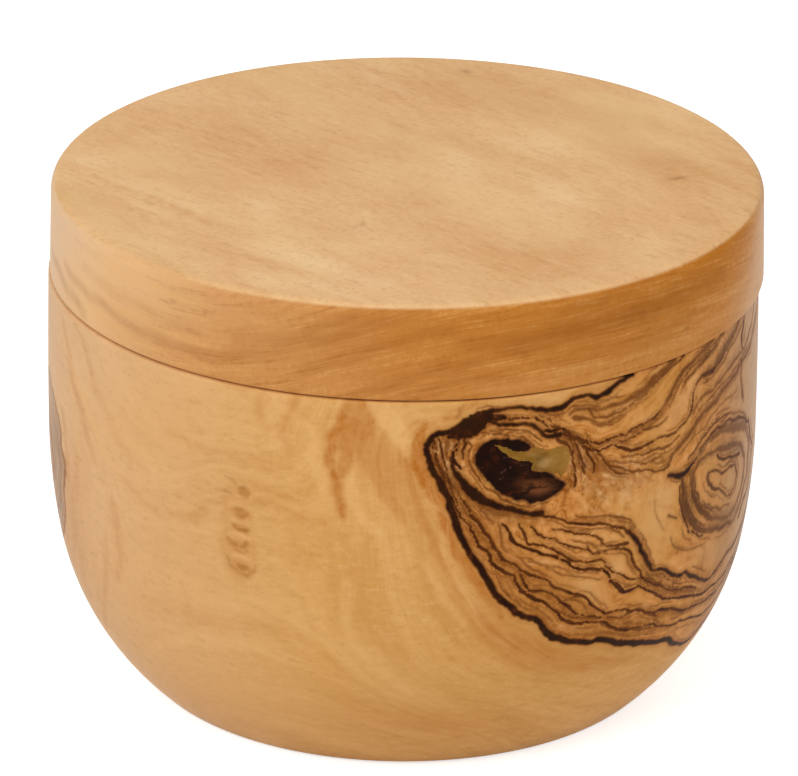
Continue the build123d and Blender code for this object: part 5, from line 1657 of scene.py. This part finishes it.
def lid_wood():
    wood = Material("olive_wood_lid")
    middle, _ = plain_grain(
        wood, wood.read("rings"), (0.76, 0.24, 0.0),
        (0.30, 213, 161, 104), (0.44, 227, 179, 124), (0.56, 234, 189, 135), (0.72, 242, 203, 152),
    )
    cloud, fibre = (
        wood.noise(scale, 4.0, rough, wood.stretched((long, 1.0, 1.0), "TEXTURE", radians(-GRAIN_TURN)))
        for scale, rough, long in ((150, 0.6, 2.6), (900, 0.7, 4.0))
    )
    wood.paint(cloud.fit(0.52, 0.34, 0.0, 0.22), 218, 156, 104)
    wood.paint(cloud.fit(0.5, 0.68, 0.0, 0.24), 240, 200, 140)
    wood.paint(wood.noise(60, 3.0, 0.55).fit(0.5, 0.62, 0.0, 0.22), 226, 164, 114)
    wood.paint(fibre.fit(0.47, 0.32, 0.0, 0.24), 184, 126, 70)
    wood.paint(fibre.fit(0.53, 0.68, 0.0, 0.24), 242, 204, 152)
    crumb = wood.noise(1300, 3.0, 0.65)
    wood.paint(crumb.fit(0.48, 0.3, 0.0, 0.2), 186, 130, 72)
    wood.paint(crumb.fit(0.52, 0.7, 0.0, 0.2), 244, 208, 158)
    wood.paint(wood.read("brown") * fibre.fit(0.3, 0.7, 1.3, 0.6), 206, 144, 88)
    wood.paint(wood.read("pale"), 234, 194, 138)

    # the side drinks more oil than the top and is darker; painted light keeps its left paler
    top_colour = wood.colour
    layers = wood.read("layers")
    oil_and_shade = wood.read("oil_and_shade")
    wood.colour = wood.mix(oil_and_shade, srgb(232, 186, 134), srgb(184, 108, 0))
    tangled = (wood.streaks(layers, 1.1, 16, 2.0, 0.6) - 0.5) * 0.5 + (
        (wood.streaks(layers, 0.34, 7, 3.0, 0.65) - 0.5) * 0.95 + (crumb - 0.5) * 0.55)
    wood.paint(tangled.fit(0.0, -0.3, 0.0, oil_and_shade.fit(0.1, 0.7, 0.16, 0.42)), 146, 78, 10)
    wood.paint(tangled.fit(0.0, 0.3, 0.0, 0.32), 236, 182, 112)
    # painted sheen: the side paler towards its edges
    wood.paint(wood.read("sheen_pale"), 222, 192, 164)
    wood.colour = wood.mix(wood.read("upright").fit(0.52, 0.8), top_colour, wood.colour)
    torn = (wood.noise(300, 3.0, 0.6) + crumb * 0.6).fit(0.55, 1.05, 0.5, 1.3, smooth=False)
    wood.paint(wood.read("side_brown") * torn, 146, 78, 18)
    wood.paint(wood.read("side_pale") * torn, 228, 170, 104)
    wood.paint(wood.read("specks"), 140, 86, 40)
    return oiled(wood, fibre)


def cast_resin():
    resin = Material("cast_resin")
    cloud = resin.noise(300, 4.0, 0.6)
    glint = resin.noise(900, 2.0, 0.5)
    resin.colour = cloud.ramp(
        (0.35, 112, 76, 16), (0.5, 134, 94, 24), (0.62, 150, 108, 40), (0.72, 178, 142, 84))
    resin.paint(glint.fit(0.64, 0.74, 0.0, 0.6), 206, 194, 156)
    # a painted highlight where the resin catches the light
    resin.paint(resin.read("haze") * glint.fit(0.35, 0.65, 0.5, 1.0), 198, 154, 100)
    resin.paint(resin.read("thin") * cloud.fit(0.35, 0.6, 1.3, 0.6), 168, 112, 48)
    return resin.set(Base_Color=resin.colour, Roughness=0.34, Specular_IOR_Level=0.1)


def ground_steel():
    steel = Material("ground_steel")
    lines = steel.noise(9000, 2.0, 0.5)
    return steel.set(
        Base_Color=lines.ramp((0.3, 176, 176, 178), (0.7, 206, 206, 206)),
        Metallic=1.0,
        Roughness=lines.fit(0.3, 0.7, 0.22, 0.36),
    )


def natural_nylon():
    nylon = Material("natural_nylon")
    haze = nylon.noise(600, 3.0, 0.5)
    return nylon.set(Base_Color=haze.ramp((0.3, 226, 222, 208), (0.7, 238, 235, 224)), Roughness=0.5)


def nickel_plate():
    nickel = Material("nickel_plate")
    haze = nickel.noise(900, 3.0, 0.5)
    return nickel.set(
        Base_Color=haze.ramp((0.3, 196, 193, 186), (0.7, 214, 211, 205)),
        Metallic=1.0,
        Roughness=haze.fit(0.3, 0.7, 0.2, 0.32),
    )


def give(piece, material):
    piece.data.materials.clear()
    piece.data.materials.append(material)


give(bowl, bowl_wood())
give(lid, lid_wood())
give(resin, cast_resin())
nylon = natural_nylon()
nickel = nickel_plate()
for node, material in (
    ("pivot_pin", ground_steel()), ("pivot_bush", nylon), ("pivot_washer", nylon),
    ("bowl_magnet", nickel), ("lid_magnet", nickel),
):
    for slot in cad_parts[node].material_slots:
        slot.material = material

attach(bowl, "bowl_body")
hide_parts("bowl")
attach(resin, "bowl_body")
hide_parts("knot_fill")
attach(lid, "lid_body")
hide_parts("lid")

# ---------------------------------------------------------------- studio
FLOOR_SIZE = 6.0            # the studio's sizes are in metres
FLOOR_DROP = 0.0002         # the floor lies this far under the box
FLOOR_LIFT = 0.66           # added for the camera, so that the lit floor shows white
WORLD_LEVEL = 0.72          # strength of the air's light, against 1 where it is seen
LAMP_TARGET = (0, 0, 0.04)

bpy.ops.object.select_all(action="DESELECT")
bpy.ops.mesh.primitive_plane_add(size=FLOOR_SIZE, location=(0, 0, -FLOOR_DROP))
floor = bpy.context.active_object
floor.name = "studio_floor"


def floor_paint():
    paint = Material("floor_paint")
    paint.set(Base_Color=srgb(234, 234, 234), Roughness=0.9, Specular_IOR_Level=0.0)
    glow = paint.node("Emission")
    paint.plug(paint.seen_directly() * FLOOR_LIFT, glow.inputs["Strength"])
    both = paint.node("AddShader")
    paint.tree.links.new(paint.surface.outputs[0], both.inputs[0])
    paint.tree.links.new(glow.outputs[0], both.inputs[1])
    paint.tree.links.new(both.outputs[0], paint.out.inputs["Surface"])
    return paint.material


give(floor, floor_paint())

world = bpy.data.worlds.new("studio_air")
bpy.context.scene.world = world
world.use_nodes = True
air = Shader(world.node_tree)
back = air.node("Background")
air.plug(air.seen_directly().fit(0.0, 1.0, WORLD_LEVEL, 1.0, smooth=False), back.inputs["Strength"])
air.tree.links.new(back.outputs[0], air.node("OutputWorld").inputs["Surface"])


def soft_box(name, place, size, power):
    """A square lamp that faces the middle of the box."""
    light = bpy.data.lights.new(name, "AREA")
    light.shape = "SQUARE"
    light.size = size
    light.energy = power
    holder = bpy.data.objects.new(name, light)
    bpy.context.scene.collection.objects.link(holder)
    holder.location = place
    holder.rotation_euler = (Vector(LAMP_TARGET) - Vector(place)).to_track_quat("-Z", "Y").to_euler()


soft_box("key_light", (-0.55, -0.75, 0.9), 0.7, 7.0)
soft_box("fill_light", (0.9, -0.5, 0.5), 0.8, 2.0)

# ---------------------------------------------------------------- camera
CAMERA_DISTANCE = 0.85
CAMERA_ELEVATION = 22.8
CAMERA_ROLL = 0.54
CAMERA_LENS = 269.8
SENSOR_WIDTH = 36.0
AIM = (-0.0005, 0.0, 0.041)
camera_data = bpy.data.cameras.new("camera")
camera_data.lens = CAMERA_LENS
camera_data.sensor_width = SENSOR_WIDTH
camera = bpy.data.objects.new("camera", camera_data)
bpy.context.scene.collection.objects.link(camera)
camera.location = (
    AIM[0],
    AIM[1] - CAMERA_DISTANCE * cos(radians(CAMERA_ELEVATION)),
    AIM[2] + CAMERA_DISTANCE * sin(radians(CAMERA_ELEVATION)),
)
tilt = Matrix.Rotation(radians(90 - CAMERA_ELEVATION), 3, "X")
roll = Matrix.Rotation(radians(CAMERA_ROLL), 3, "Z")
camera.rotation_euler = (tilt @ roll).to_euler()
bpy.context.scene.camera = camera
bpy.context.scene.view_settings.view_transform = "Standard"
